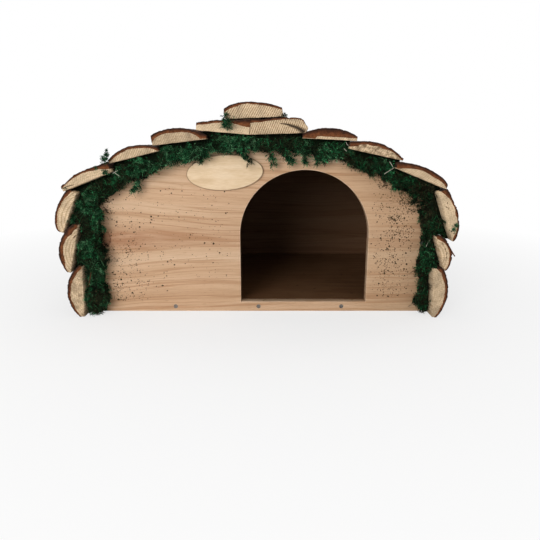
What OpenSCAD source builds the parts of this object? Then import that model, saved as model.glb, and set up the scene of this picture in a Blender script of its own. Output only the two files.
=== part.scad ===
// Hedgehog house: a box of boards with an arched front and back, under a skin of log slabs.
// The slabs lie like shingles: each one sits on the lining of the box near its upper edge, and
// its flat side leans on the slab below. Moss fills the edge under the slab ends.
// The front faces -Y, +X is to the right seen from the front, and Z is up from the ground.

/* [Box] */
// Width of the front and back panels
panel_w = 396; // [360:1:440]
// Height of the straight sides, up to the eaves
eaves_h = 140; // [128:1:156]
// Height of the panels at the crown of the arch
crown_h = 204; // [196:1:230]
// Depth over the front and back panels
box_d = 280; // [220:1:360]
// Thickness of the front and back panels
panel_t = 12; // [9:0.5:18]
// Thickness of the side boards
side_t = 12; // [9:0.5:18]
// Thickness of the floor board
floor_t = 12; // [9:0.5:18]

/* [Doorway] */
// Width of the doorway
door_w = 150; // [120:1:170]
// Height of the top of the doorway above the ground
door_h = 168; // [140:1:174]
// Distance of the doorway to the right of the middle
door_x = 54; // [0:1:70]

/* [Roof frame] */
// Width of the ridge batten and the purlins
batten_w = 20; // [16:1:26]
// Height of the ridge batten and the purlins
batten_h = 18; // [14:1:24]
// Thickness of the waterproof lining
lining_t = 2; // [1:0.5:4]
// Gap between the lining and the ground
lining_lift = 4; // [1:0.5:10]
// Gap along the ridge between the two sheets of lining
lining_seam = 0.2; // [0.1:0.05:1]

/* [Slabs] */
// Overhang of the slabs past the front and back panels
slab_overhang = 25; // [18:1:40]
// Thickness of a slab in the middle, with its bark
slab_t = 15; // [14:0.5:18]
// Thickness of a slab at its edges, with its bark
slab_edge_t = 6; // [4:0.5:6.5]
// Thickness of the bark
bark_t = 3; // [1.5:0.5:4]
// Lap of a slab over the one below it
slab_lap = 6; // [3:0.5:10]
// Width of the slab on the ridge
ridge_slab_w = 60; // [48:1:72]
// Distance of the joint between the two top slabs to the left of the middle
ridge_off = 8; // [8:0.5:12]
// Gap at the ridge between the upper edges of the two top slabs
ridge_gap = 2.4; // [2.2:0.2:6]
// Distance of the ridge slab's nails to the right of the joint, where they go through the top slab
ridge_nail_x = 12; // [8:1:16]
// Height of the upper edge of the lowest slabs
foot_slab_h = 58; // [50:1:66]
// Distance of the lowest slabs' lower edge from the lining
foot_slab_off = 3; // [1:0.5:6]
// Clearance between a slab and the lining that it sits on
seat_gap = 0.2; // [0.1:0.05:0.5]
// Clearance between a slab and the slab that it leans on
lap_gap = 0.3; // [0.2:0.05:1]

/* [Moss] */
// How far the moss stands out from the front panel
moss_front_t = 14; // [8:0.5:17]
// How far the front moss reaches in over the panel
moss_front_reach = 9; // [7:0.5:14]
// How much further the front moss reaches in on the left, and less on the right
moss_front_shift = 4; // [0:0.5:6]
// How far the moss stands out from the back panel
moss_back_t = 10; // [6:0.5:17]
// How far the back moss reaches in over the panel
moss_back_reach = 7; // [5:0.5:14]
// Radius of the lumps along the inner edge of the moss
moss_lump_r = 6.5; // [5:0.5:9]
// Share by which the lumps differ from that radius
moss_lump_vary = 0.3; // [0:0.05:0.4]
// Distance from one lump of moss to the next
moss_lump_pitch = 15; // [12:0.5:20]
// Reach of the moss into the hollow under the ridge slab, to the right of the joint
moss_ridge_reach = 14; // [8:1:16]
// Gap between the moss and the ground
moss_lift = 2; // [1:0.5:6]
// Clearance between the moss and the slabs and plate next to it
moss_gap = 0.3; // [0.2:0.05:1]

/* [Name plate] */
// Length of the oval plate
plate_w = 87; // [60:1:100]
// Height of the oval plate
plate_h = 40; // [28:1:46]
// Thickness of the plate
plate_t = 3; // [2:0.5:6]
// Rise of the plate to the right, in degrees
plate_tilt = 3.3; // [0:0.1:8]
// Distance of the plate's middle to the left of the doorway's side
plate_from_door = 16; // [8:1:60]
// Distance of the plate's middle below the crown of the panels
plate_drop = 39; // [36:0.5:56]

/* [Nails] */
// Diameter of the nails
nail_d = 2; // [1.6:0.1:2.8]
// Diameter of the nail heads
nail_head_d = 5; // [4:0.1:6.5]
// Thickness of the nail heads
nail_head_t = 1; // [0.8:0.1:1.5]
// Clearance round a nail in its hole
nail_gap = 0.05; // [0.03:0.01:0.15]
// How far the slab nails' heads are sunk into the bark
nail_sink = 0.5; // [0.3:0.1:1]
// Distance of the slab nails from the slab's lower edge
slab_nail_up = 22; // [18:1:25]
// Reach of the slab nails past the slab's flat side
slab_nail_grip = 22; // [18:1:26]
// Length of the nails that hold the box together
box_nail_l = 35; // [28:1:45]
// Distance of the corner nails below the upper edge of the slab beside them
corner_nail_drop = 12; // [8:1:16]
// Distance from one floor nail to the next
floor_nail_pitch = 100; // [60:1:110]
// Distance between the two nails in the end of a batten
batten_nail_pitch = 10; // [8:0.5:10]

/* [Hidden] */
$fn = 96;
SIDES = ["left", "right"];
SLABS_PER_SIDE = 7;
ROOF_SLABS = 4;
FOOT = SLABS_PER_SIDE - 1;

// How each natural slab differs from the even one, from the ridge down to the ground: upper edge
// further down, more lap, more thickness, more edge, crown nearer the lower edge, and how far its
// lower edge is propped up off the slab below it.
left_slabs = [
    [0, 5, -0.5, 6.5, -18, 0],
    [0, 0, 1, 2, 6, 0],
    [0, -7, -2.5, -2, 1, 0.3],
    [4, 3, -2, 1.5, -3, 1],
    [-3, 7, 0.5, 2, 0, 0],
    [-9, 5, 3.5, -2, -1, 0],
    [-3, 0, 4.5, 0, 1, 0]];
right_slabs = [
    [0, -4, 2.4, 9.2, 11, 0],
    [-5, 1, -2, -0.5, 1, 0],
    [-7, 1, -2, -1.5, -4, 1.2],
    [-5, -3.5, -2, 0.5, 0, 0.5],
    [-4, 3, 0, 0.5, -3, 4.5],
    [4, -1.5, -1.3, -1, 0, 0],
    [0, 0, 3, 3, -4, 0]];
// The same for the slab on the ridge: more thickness, more edge, crown to the right of its middle,
// and its middle to the right of the joint
ridge_slab = [2.5, 4, -0.5, 6.5];
// Steps along a slab's bark when the slab above it is laid on it
lay_steps = 32;

// Arch of the panels, and of the surface that the slabs sit on
arch_r = circle_through(panel_w / 2, crown_h - eaves_h);
arch_z = crown_h - arch_r;
seat_r = arch_r + lining_t + seat_gap;
seat_x = panel_w / 2 + lining_t + seat_gap;
ridge_a = asin(ridge_gap / 2 / seat_r);
joint_a = asin(ridge_off / seat_r);
eaves_a = asin(seat_x / seat_r);
eaves_z = arch_z + seat_r * cos(eaves_a);
roof_pitch_a = (eaves_a - ridge_a) / ROOF_SLABS;
side_pitch = (eaves_z - foot_slab_h) / (FOOT - ROOF_SLABS);
slab_l = box_d + 2 * slab_overhang;
ridge_tilt = atan(ridge_lie()[1]);
ridge_z = ridge_lie()[0] + lap_gap / cos(ridge_tilt);

// Inside of the box
inner_w = panel_w - 2 * side_t;
inner_d = box_d - 2 * panel_t;
panel_mid_y = box_d / 2 - panel_t / 2;
door_r = door_w / 2;
plate_x = door_x - door_r - plate_from_door;
plate_z = crown_h - plate_drop;
batten_drop = sqrt(arch_r * arch_r - batten_w * batten_w / 4);
purlin_a = ridge_a + 2 * roof_pitch_a;

wood_tan = "burlywood";
end_wood = "wheat";
bark_brown = "saddlebrown";
felt_black = "dimgray";
moss_green = "darkgreen";
steel_grey = "silver";

// Radius of the circle whose segment is half wide and rise high
function circle_through(half, rise) = (half * half + rise * rise) / (2 * rise);

function slab_name(k, i) = str("slab_", SIDES[k], "_", i + 1);

// Sizes of slab i on side k, worked out on the right and mirrored for the left
function trait(k, i) = k == 0 ? left_slabs[i] : right_slabs[i];
function thick(k, i) = slab_t + trait(k, i)[2];
function edge(k, i) = slab_edge_t + trait(k, i)[3];
function width(k, i) = over(k, i) + reach(k, i);
function log_r(k, i) = circle_through(width(k, i) / 2, thick(k, i) - edge(k, i));
function crown_s(k, i) = width(k, i) / 2 + trait(k, i)[4];
function bark_h(k, i, s) =
    thick(k, i) - log_r(k, i) + sqrt(pow(log_r(k, i), 2) - pow(s - crown_s(k, i), 2));

// Place on the lining that the slab's flat side sits on: along the arch on the roof, at the eaves
// for the topmost side slab, and down the side below it
function pivot(k, i) =
    i < ROOF_SLABS ? seat_on_arch(roof_a(k, i) + trait(k, i)[0] / seat_r * 180 / PI)
    : i == ROOF_SLABS ? seat_on_arch(eaves_a)
    : [seat_x, eaves_z - (i - ROOF_SLABS) * side_pitch - trait(k, i)[0]];
function roof_a(k, i) = ridge_a + (i == 0 ? (1 - 2 * k) * joint_a : i * roof_pitch_a);
function seat_on_arch(a) = [seat_r * sin(a), arch_z + seat_r * cos(a)];

// How far the slab's upper edge stands above that place, and how far its lower edge is from it
function over(k, i) = i == ROOF_SLABS ? -trait(k, i)[0] : 0;
function reach(k, i) =
    i == FOOT ? norm([pivot(k, i)[1], foot_slab_off])
              : norm(pivot(k, i) - pivot(k, i + 1)) + slab_lap + trait(k, i)[1];

// Place of the slab's upper inner edge
function seat(k, i) =
    over(k, i) == 0 ? pivot(k, i) : pivot(k, i) + laid(slope(k, i), -over(k, i), 0);

// Step on a slab that slopes by angle a: s along its flat side and h out from it
function laid(a, s, h) = s * [cos(a), -sin(a)] + h * [sin(a), cos(a)];
function slab_point(k, i, a, s, h) = seat(k, i) + laid(a, s, h);
function bark_points(k, i) =
    let (a = slope(k, i), w = width(k, i), o = seat(k, i))
    [for (n = [0:lay_steps]) let (s = w * n / lay_steps) o + laid(a, s, bark_h(k, i, s))];

// Slope of a slab's flat side below the level: the steepest that clears the upper edge of the
// slab under it, and as much of that slab's bark as it laps over, less what props it up
function slope(k, i) =
    i == FOOT ? 90 - atan(foot_slab_off / pivot(k, i)[1])
              : let (under = bark_points(k, i + 1), o = pivot(k, i), r = reach(k, i))
                min([for (n = [0:lay_steps])
                     let (v = under[n] - o)
                     if (n == 0 || norm(v) < r) atan2(-v[1], v[0]) - asin(lap_gap / norm(v))])
                - asin(trait(k, i)[5] / r);

// Bark of a top slab that the ridge slab spans
function under_ridge(k) =
    [for (p = bark_points(k, 0))
        let (x = (2 * k - 1) * p[0])
        if (abs(x + ridge_off - ridge_slab[3]) < ridge_slab_w / 2) [x, p[1]]];
// Lie of the ridge slab on the two top slabs: height over the joint and rise to the right of the
// line through a bark point on each of them, for the pair whose line is the highest there
function ridge_lie() =
    let (lies = [for (p = under_ridge(0)) for (q = under_ridge(1))
                 let (rise = (q[1] - p[1]) / (q[0] - p[0]))
                 [p[1] - rise * (p[0] + ridge_off), rise]],
         top = max([for (lie = lies) lie[0]]))
    [for (lie = lies) if (lie[0] == top) lie][0];
function ridge_t() = slab_t + ridge_slab[0];
function ridge_log_r() =
    circle_through(ridge_slab_w / 2, slab_t + ridge_slab[0] - slab_edge_t - ridge_slab[1]);

// Stands an outline in X and Z up, from y_low to y_low + deep
module standing(y_low, deep) {
    translate([0, y_low + deep, 0]) rotate([90, 0, 0]) linear_extrude(deep) children();
}

// Outline of the arched box, grown outwards all round but at the ground
module arch_outline(grow) {
    intersection() {
        translate([0, arch_z]) circle(arch_r + grow, $fn = 180);
        translate([-panel_w / 2 - grow, 0]) square([panel_w + 2 * grow, crown_h + grow]);
    }
}

module doorway_outline() {
    translate([door_x, door_h - door_r]) circle(door_r);
    translate([door_x - door_r, floor_t]) square([door_w, door_h - door_r - floor_t]);
}

module plate_outline(grow) {
    translate([plate_x, plate_z]) rotate(plate_tilt)
        polygon([for (a = [0:5:355]) [(plate_w / 2 + grow) * cos(a), (plate_h / 2 + grow) * sin(a)]]);
}

// Half-round section of a slab along X from its upper edge, with its flat side on Y = 0
module log_section(w, t, r, crown, skin, grow) {
    intersection() {
        translate([crown, t - r]) circle(r - skin + grow);
        translate([-grow, -grow]) square([w + 2 * grow, t + 2 * grow]);
    }
}

module slab_section(k, i, skin = 0, grow = 0) {
    mirror([1 - k, 0]) translate(seat(k, i)) rotate(-slope(k, i))
        log_section(width(k, i), thick(k, i), log_r(k, i), crown_s(k, i), skin, grow);
}

module ridge_section(skin = 0, grow = 0) {
    translate([-ridge_off, ridge_z]) rotate(ridge_tilt) translate([-ridge_joint_s(), 0])
        log_section(ridge_slab_w, ridge_t(), ridge_log_r(), ridge_slab_w / 2 + ridge_slab[2], skin, grow);
}
function ridge_joint_s() = ridge_slab_w / 2 - ridge_slab[3];

// Nail along Z, its head's underside at the origin, in its hole when loose is the clearance
module nail(l, loose = 0) {
    r = nail_d / 2 + loose;
    translate([0, 0, -l - loose]) cylinder(r = r, h = l + loose);
    translate([0, 0, -loose]) cylinder(r = nail_head_d / 2 + loose, h = nail_head_t + loose);
}

// Open pocket above a sunk nail's head
module nail_pocket() {
    translate([0, 0, -nail_gap]) cylinder(d = nail_head_d + 2 * nail_gap, h = slab_t);
}

// Children at each slab's nails, with Z out of the bark and the head's underside at the origin
module at_slab_nails(k, i) {
    s = width(k, i) - slab_nail_up;
    h = bark_h(k, i, s) - nail_sink - nail_head_t;
    p = slab_point(k, i, slope(k, i), s, h);
    mirror([1 - k, 0, 0]) for (end = [-1, 1])
        translate([p[0], end * panel_mid_y, p[1]]) rotate([0, slope(k, i), 0]) children();
}

module at_ridge_nails() {
    for (end = [-1, 1])
        translate([ridge_nail_x - ridge_off, end * panel_mid_y, ridge_nail_z()]) children();
}
function ridge_bark_h(s) =
    ridge_t() - ridge_log_r()
    + sqrt(pow(ridge_log_r(), 2) - pow(s - ridge_slab_w / 2 - ridge_slab[2], 2));
function ridge_nail_z() =
    ridge_z + ridge_nail_x * tan(ridge_tilt) + ridge_bark_h(ridge_joint_s() + ridge_nail_x)
    - nail_sink - nail_head_t;
function ridge_nail_l() = ridge_nail_z() - crown_h + slab_nail_grip;
function slab_nail_l(k, i) =
    bark_h(k, i, width(k, i) - slab_nail_up) - nail_sink - nail_head_t + slab_nail_grip;

module slab_nail_set(loose = 0) {
    at_ridge_nails() nail(ridge_nail_l(), loose);
    for (k = [0, 1]) for (i = [0:FOOT])
        at_slab_nails(k, i) nail(slab_nail_l(k, i), loose);
}

// Nails of the box, heads flush: panels to side boards, floor and battens, side boards to floor
module box_nail_set(loose = 0) {
    for (end = [0, 180]) rotate(end) {
        for (k = [0, 1]) for (i = [ROOF_SLABS:FOOT])
            let (beside = seat(end == 0 ? k : 1 - k, i))
            mirror([1 - k, 0, 0])
                front_nail(panel_w / 2 - side_t / 2, beside[1] - corner_nail_drop, loose);
        for (n = [-1:1])
            front_nail(n * floor_nail_pitch, floor_t / 2, loose);
        for (a = [-purlin_a, 0, purlin_a]) for (n = [-0.5, 0.5])
            let (c = batten_middle(a) + n * batten_nail_pitch * [cos(a), -sin(a)])
            front_nail(c[0], c[1], loose);
        for (n = [-1:1])
            translate([panel_w / 2 - nail_head_t, n * floor_nail_pitch, floor_t / 2])
                rotate([0, 90, 0]) nail(box_nail_l, loose);
    }
}

module front_nail(x, z, loose) {
    translate([x, nail_head_t - box_d / 2, z]) rotate([90, 0, 0]) nail(box_nail_l, loose);
}

// Middle of the section of a batten that lies under the arch at angle a from the crown
function batten_middle(a) = [0, arch_z] + (batten_drop - batten_h / 2) * [sin(a), cos(a)];

module batten(a) {
    translate([batten_middle(a)[0], 0, batten_middle(a)[1]]) rotate([0, a, 0])
        cube([batten_w, inner_d, batten_h], center = true);
}

module panel(y_low) {
    standing(y_low, panel_t) arch_outline(0);
}

module front_panel() {
    color(wood_tan) difference() {
        panel(-box_d / 2);
        standing(-box_d / 2 - panel_t, 3 * panel_t) doorway_outline();
        slab_nail_set(nail_gap);
        box_nail_set(nail_gap);
    }
}

module back_panel() {
    color(wood_tan) difference() {
        panel(box_d / 2 - panel_t);
        slab_nail_set(nail_gap);
        box_nail_set(nail_gap);
    }
}

module side_board(k) {
    color(wood_tan) difference() {
        intersection() {
            mirror([1 - k, 0, 0])
                translate([panel_w / 2 - side_t, -inner_d / 2, 0]) cube([side_t, inner_d, crown_h]);
            standing(-inner_d / 2, inner_d) arch_outline(0);
        }
        box_nail_set(nail_gap);
    }
}

module floor_board() {
    color(wood_tan) difference() {
        translate([-inner_w / 2, -inner_d / 2, 0]) cube([inner_w, inner_d, floor_t]);
        box_nail_set(nail_gap);
    }
}

module roof_batten(a) {
    color(wood_tan) difference() {
        batten(a);
        box_nail_set(nail_gap);
    }
}

// Sheet of lining over one side of the box, up to the seam along the ridge
module lining(k) {
    color(felt_black) difference() {
        standing(-box_d / 2, box_d) mirror([1 - k, 0]) difference() {
            arch_outline(lining_t);
            arch_outline(0);
            translate([-panel_w, 0]) square([2 * panel_w, lining_lift]);
            translate([lining_seam / 2 - panel_w, 0]) square([panel_w, 2 * crown_h]);
        }
        slab_nail_set(nail_gap);
    }
}

module name_plate() {
    color(end_wood) standing(-box_d / 2 - plate_t, plate_t) plate_outline(0);
}

// Ring of moss between the slabs' flat sides and a lumpy line that reaches in over the panel
module moss_outline(reach, shift = 0) {
    difference() {
        slab_line();
        translate([shift, 0]) difference() {
            arch_outline(-reach);
            moss_lumps(reach);
        }
        for (k = [0, 1]) for (i = [0:FOOT]) slab_section(k, i, grow = moss_gap);
        translate([-panel_w, 0]) square([2 * panel_w, moss_lift]);
    }
}

// Outline along the slabs' flat sides, up the left side to the hollow under the ridge slab and
// down the right side
module slab_line() {
    polygon(concat(
        [for (i = [FOOT:-1:0]) for (s = [width(0, i), 0]) flat_point(0, i, s)],
        [hollow_point(-ridge_gap / 2), hollow_point(ridge_gap / 2 + moss_ridge_reach)],
        [for (i = [0:FOOT]) for (s = [0, width(1, i)]) flat_point(1, i, s)]));
}
function hollow_point(x) = [x - ridge_off, ridge_z + x * tan(ridge_tilt) - moss_gap];
function flat_point(k, i, s) =
    let (p = slab_point(k, i, slope(k, i), s, 0)) [(2 * k - 1) * p[0], p[1]];

// Rows of lumps along the roof and down both sides, no two neighbours alike
module moss_lumps(reach) {
    roof_step = moss_lump_pitch / arch_r * 180 / PI;
    for (n = [0:floor(eaves_a / roof_step)]) for (way = [-1, 1])
        let (a = (n + 0.5) * roof_step)
        translate([0, arch_z] + (arch_r - reach) * [way * sin(a), cos(a)]) circle(lump_r(n, way));
    for (n = [1:floor(eaves_h / moss_lump_pitch)]) for (way = [-1, 1])
        translate([way * (panel_w / 2 - reach), n * moss_lump_pitch]) circle(lump_r(n, way));
}
function lump_r(n, way) = moss_lump_r * (1 + moss_lump_vary * sin(n * 100 + way * 40));

module moss_front() {
    color(moss_green) standing(-box_d / 2 - moss_front_t, moss_front_t) difference() {
        moss_outline(moss_front_reach, moss_front_shift);
        plate_outline(moss_gap);
    }
}

module moss_back() {
    color(moss_green) standing(box_d / 2, moss_back_t) moss_outline(moss_back_reach);
}

module slab(k, i) {
    color(end_wood) difference() {
        standing(-slab_l / 2, slab_l) slab_section(k, i, skin = bark_t);
        at_slab_nails(k, i) nail(slab_nail_l(k, i), nail_gap);
        at_slab_nails(k, i) nail_pocket();
        if (i == 0) ridge_nail_holes();
    }
}

module slab_ridge() {
    color(end_wood) difference() {
        standing(-slab_l / 2, slab_l) ridge_section(skin = bark_t);
        ridge_nail_holes();
        at_ridge_nails() nail_pocket();
    }
}

module ridge_nail_holes() {
    at_ridge_nails() nail(ridge_nail_l(), nail_gap);
}

module slab_bark() {
    color(bark_brown) {
        difference() {
            standing(-slab_l / 2, slab_l) difference() {
                ridge_section();
                ridge_section(skin = bark_t);
            }
            at_ridge_nails() nail_pocket();
        }
        for (k = [0, 1]) for (i = [0:FOOT])
            difference() {
                standing(-slab_l / 2, slab_l) difference() {
                    slab_section(k, i);
                    slab_section(k, i, skin = bark_t);
                }
                at_slab_nails(k, i) nail_pocket();
                if (i == 0) ridge_nail_holes();
            }
    }
}

module slab_nails() {
    color(steel_grey) slab_nail_set();
}

module box_nails() {
    color(steel_grey) box_nail_set();
}

front_panel();
back_panel();
side_board(0);  // side_board_left
side_board(1);  // side_board_right
floor_board();
roof_batten(0);  // ridge_batten
roof_batten(-purlin_a);  // purlin_left
roof_batten(purlin_a);  // purlin_right
lining(0);  // lining_left
lining(1);  // lining_right
name_plate();
moss_front();
moss_back();
slab_ridge();
for (k = [0, 1]) for (i = [0:FOOT])
    slab(k, i);
slab_bark();
slab_nails();
box_nails();
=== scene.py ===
"""Looks of the hedgehog house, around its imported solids. Lengths are in millimetres unless said otherwise."""
import math
from dataclasses import dataclass

import bmesh
import bpy
import numpy as np
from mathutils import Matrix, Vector
from mathutils.geometry import tessellate_polygon
from mathutils.kdtree import KDTree


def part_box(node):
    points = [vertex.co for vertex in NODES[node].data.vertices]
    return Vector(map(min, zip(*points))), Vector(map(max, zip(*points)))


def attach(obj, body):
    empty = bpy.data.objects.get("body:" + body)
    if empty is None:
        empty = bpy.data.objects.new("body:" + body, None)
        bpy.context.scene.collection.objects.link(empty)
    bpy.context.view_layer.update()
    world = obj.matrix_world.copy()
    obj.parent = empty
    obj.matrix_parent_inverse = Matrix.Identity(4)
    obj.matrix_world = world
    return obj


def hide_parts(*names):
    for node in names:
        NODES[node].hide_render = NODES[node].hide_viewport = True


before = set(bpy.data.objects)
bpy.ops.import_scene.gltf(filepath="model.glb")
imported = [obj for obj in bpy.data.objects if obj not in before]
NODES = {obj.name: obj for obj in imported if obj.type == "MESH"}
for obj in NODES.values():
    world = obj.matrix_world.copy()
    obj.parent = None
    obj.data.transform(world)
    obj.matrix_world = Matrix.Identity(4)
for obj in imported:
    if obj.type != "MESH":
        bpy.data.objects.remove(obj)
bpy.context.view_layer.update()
MM = 0.001

# Camera of the photograph: place and focal length found from the front's known sizes
CAMERA_PLACE = (13.9, -726.6, 200.8)
CAMERA_PITCH_DEG = 14.3
CAMERA_LENS = 34.0
CAMERA_SENSOR = 36.0

# Bark of a slab
BARK_COLUMN = 1.1
BARK_ROW = 1.8
BARK_SETBACK = 1.6
# How far the bark's inside lies in the wood, its least thickness, and how far that inside ends short of
# the rims
BARK_BITE = 0.3
BARK_LEAST = 0.5
BARK_TUCK = 5.0
RIM_ROWS = 4
RIM_LIP = 0.4
FISSURE_DEPTH = 1.0
NAIL_DIMPLE = 0.9
NAIL_DIMPLE_R = 4.5
# Width along the upper edge where the slab above keeps the bark flat, and where that ends
COVERED = (3.0, 14.0)
# How far down a slab its bark is heaped up under the slab above, and the heights at which a bulging
# edge ends and a leaning slab has leant as far as its look says
HEAP_REACH = 22.0
BULGE_TOP = 10.0
LEAN_TOP = 16.0

# Sawn wood of a slab
WOOD_COLUMN = 0.5
WOOD_ROWS = 26
WOOD_STATIONS = 9
SAW_PITCH = 2.15
SAW_DEPTH = 0.12
END_ROUGHNESS = 0.25
WOOD_MIN = 0.8
SIDE_DARK = 0.12

# Boards
CHAMFER = 0.7
PLATE_CHAMFER = 0.95
SHARP_DEG = 25
# Painted shade on the panels' insides, tone of their paler edges, partly worn wood and partly painted
# highlight, and how much lighter than those insides other boards are
INSIDE_SHADE = (0.19, 0.145, 0.105)
WORN_EDGE_AND_HIGHLIGHT = (1.2, 1.3, 1.42)
INNER_GAIN = 1.4

# Moss
MAT_VOXEL = 1.9
MAT_RELIEF = 2.4
MAT_FILL = 0.9
SPRIG_SHAPES = 12
SPRIG_LENGTH = 12.0
SPRIG_OVERHANG = 5.0
SPRIG_STEM_R = 0.34
STEM_RINGS = 6
STEM_SIDES_DEG = [90, 210, 330]
LEAF_PAIRS = 5
LEAF_LENGTH = 4.8
LEAF_WIDTH = 0.27
TUFT_LEAF_WIDTH = 0.4
STRAND_R = 0.42
FRONT_SPRIGS = 3600
FRONT_STRANDS = 1500
BACK_SPRIGS = 1800
# Bright locks on the front: how many, their tint, places of their clumps along a frond, and how far
# they stand out of the mat
FRONT_LOCKS = 46
LOCK_TINT = 0.86
LOCK_REACHES = (0, 3.5, 7)
LOCK_OUT = 3.0
# Places of a hanging sprig's clumps along it, and how far its root stands out of the panel
HANGING_CLUMPS = (0.25, 0.5, 0.72)
HANGING_OUT = 9.0
# X of the cuts between the front moss's pieces, which keep each under the export's limit on faces
FRONT_CUTS = [-142, 80]


# Noise

def hashed(cell, seed):
    """Even values from 0 to 1, one for each whole-number cell."""
    h = cell[..., 0] * 73856093 ^ cell[..., 1] * 19349663 ^ cell[..., 2] * 83492791
    h = (h ^ seed * 2654435761) & 0xFFFFFFFF
    h = (h ^ h >> 15) * 2246822519 & 0xFFFFFFFF
    h = (h ^ h >> 13) * 3266489917 & 0xFFFFFFFF
    return (h >> 8) / 0xFFFFFF


def noise(p, scale, seed):
    """Smooth noise from -1 to 1 at points p, with features about scale apart along each axis."""
    q = np.asarray(p, float) / np.asarray(scale, float)
    cell = np.floor(q).astype(np.int64)
    f = q - cell
    f = f * f * (3 - 2 * f)
    total = 0
    for corner in np.ndindex(2, 2, 2):
        weight = np.prod(np.where(corner, f, 1 - f), axis=-1)
        total = total + weight * hashed(cell + np.array(corner), seed)
    return 2 * total - 1


def fbm(p, scale, seed, octaves=3):
    """Sum of ever finer noise, from about -1 to 1."""
    gains = [0.5 ** n for n in range(octaves)]
    layers = [g * noise(p, np.asarray(scale, float) * g, seed + n) for n, g in enumerate(gains)]
    return sum(layers) / sum(gains)


def points3(*parts):
    """Points from three coordinates that broadcast together."""
    return np.stack(np.broadcast_arrays(*parts), axis=-1).astype(float)


def smooth(low, high, x):
    """0 below low, 1 above high, and an even ramp between."""
    t = np.clip((x - low) / (high - low), 0, 1)
    return t * t * (3 - 2 * t)


# Meshes

def put(name, data):
    """New object in the scene."""
    item = bpy.data.objects.new(name, data)
    bpy.context.scene.collection.objects.link(item)
    return item


def new_piece(name, points, faces, material, replaces=(), values=None, close=True):
    """A mesh piece that rides on the house. values are named numbers or vectors, one for each point."""
    mesh = bpy.data.meshes.new(name)
    mesh.from_pydata((np.asarray(points) * MM).tolist(), [], faces)
    for key, value in (values or {}).items():
        kind, field = ("FLOAT", "value") if np.ndim(value) == 1 else ("FLOAT_VECTOR", "vector")
        attribute = mesh.attributes.new(key, kind, "POINT")
        attribute.data.foreach_set(field, np.asarray(value, np.float32).ravel())
    if close:
        face_outwards(mesh)
    mesh.shade_smooth()
    mesh.materials.append(material)
    piece = put(name, mesh)
    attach(piece, "root")
    if replaces:
        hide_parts(*replaces)
    return piece


def face_outwards(mesh):
    work = bmesh.new()
    work.from_mesh(mesh)
    bmesh.ops.recalc_face_normals(work, faces=work.faces)
    work.to_mesh(mesh)
    work.free()


def grid_faces(ids, closed=False):
    """Quads of a grid of point numbers, joined from its last column to its first if closed."""
    if closed:
        ids = np.hstack([ids, ids[:, :1]])
    quads = np.stack([ids[:-1, :-1], ids[1:, :-1], ids[1:, 1:], ids[:-1, 1:]], axis=-1)
    return quads.reshape(-1, 4).tolist()


def node_points(name):
    mesh = NODES[name].data
    co = np.empty(3 * len(mesh.vertices), np.float32)
    mesh.vertices.foreach_get("co", co)
    return co.reshape(-1, 3).astype(float) / MM


def node_triangles(name):
    mesh = NODES[name].data
    mesh.calc_loop_triangles()
    ids = np.empty(3 * len(mesh.loop_triangles), np.int32)
    mesh.loop_triangles.foreach_get("vertices", ids)
    return ids.reshape(-1, 3)


def islands(name):
    """Points of each separate solid in a node."""
    points = node_points(name)
    welded, ids = np.unique(points.round(3), axis=0, return_inverse=True)
    triangles = ids.ravel()[node_triangles(name)]
    label = np.arange(len(welded))
    before = None
    while before is None or (before != label).any():
        before = label.copy()
        least = label[triangles].min(axis=1)
        for n in range(3):
            np.minimum.at(label, triangles[:, n], least)
    return [welded[label == one] for one in np.unique(label)]


# Slabs, read from the frame

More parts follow.
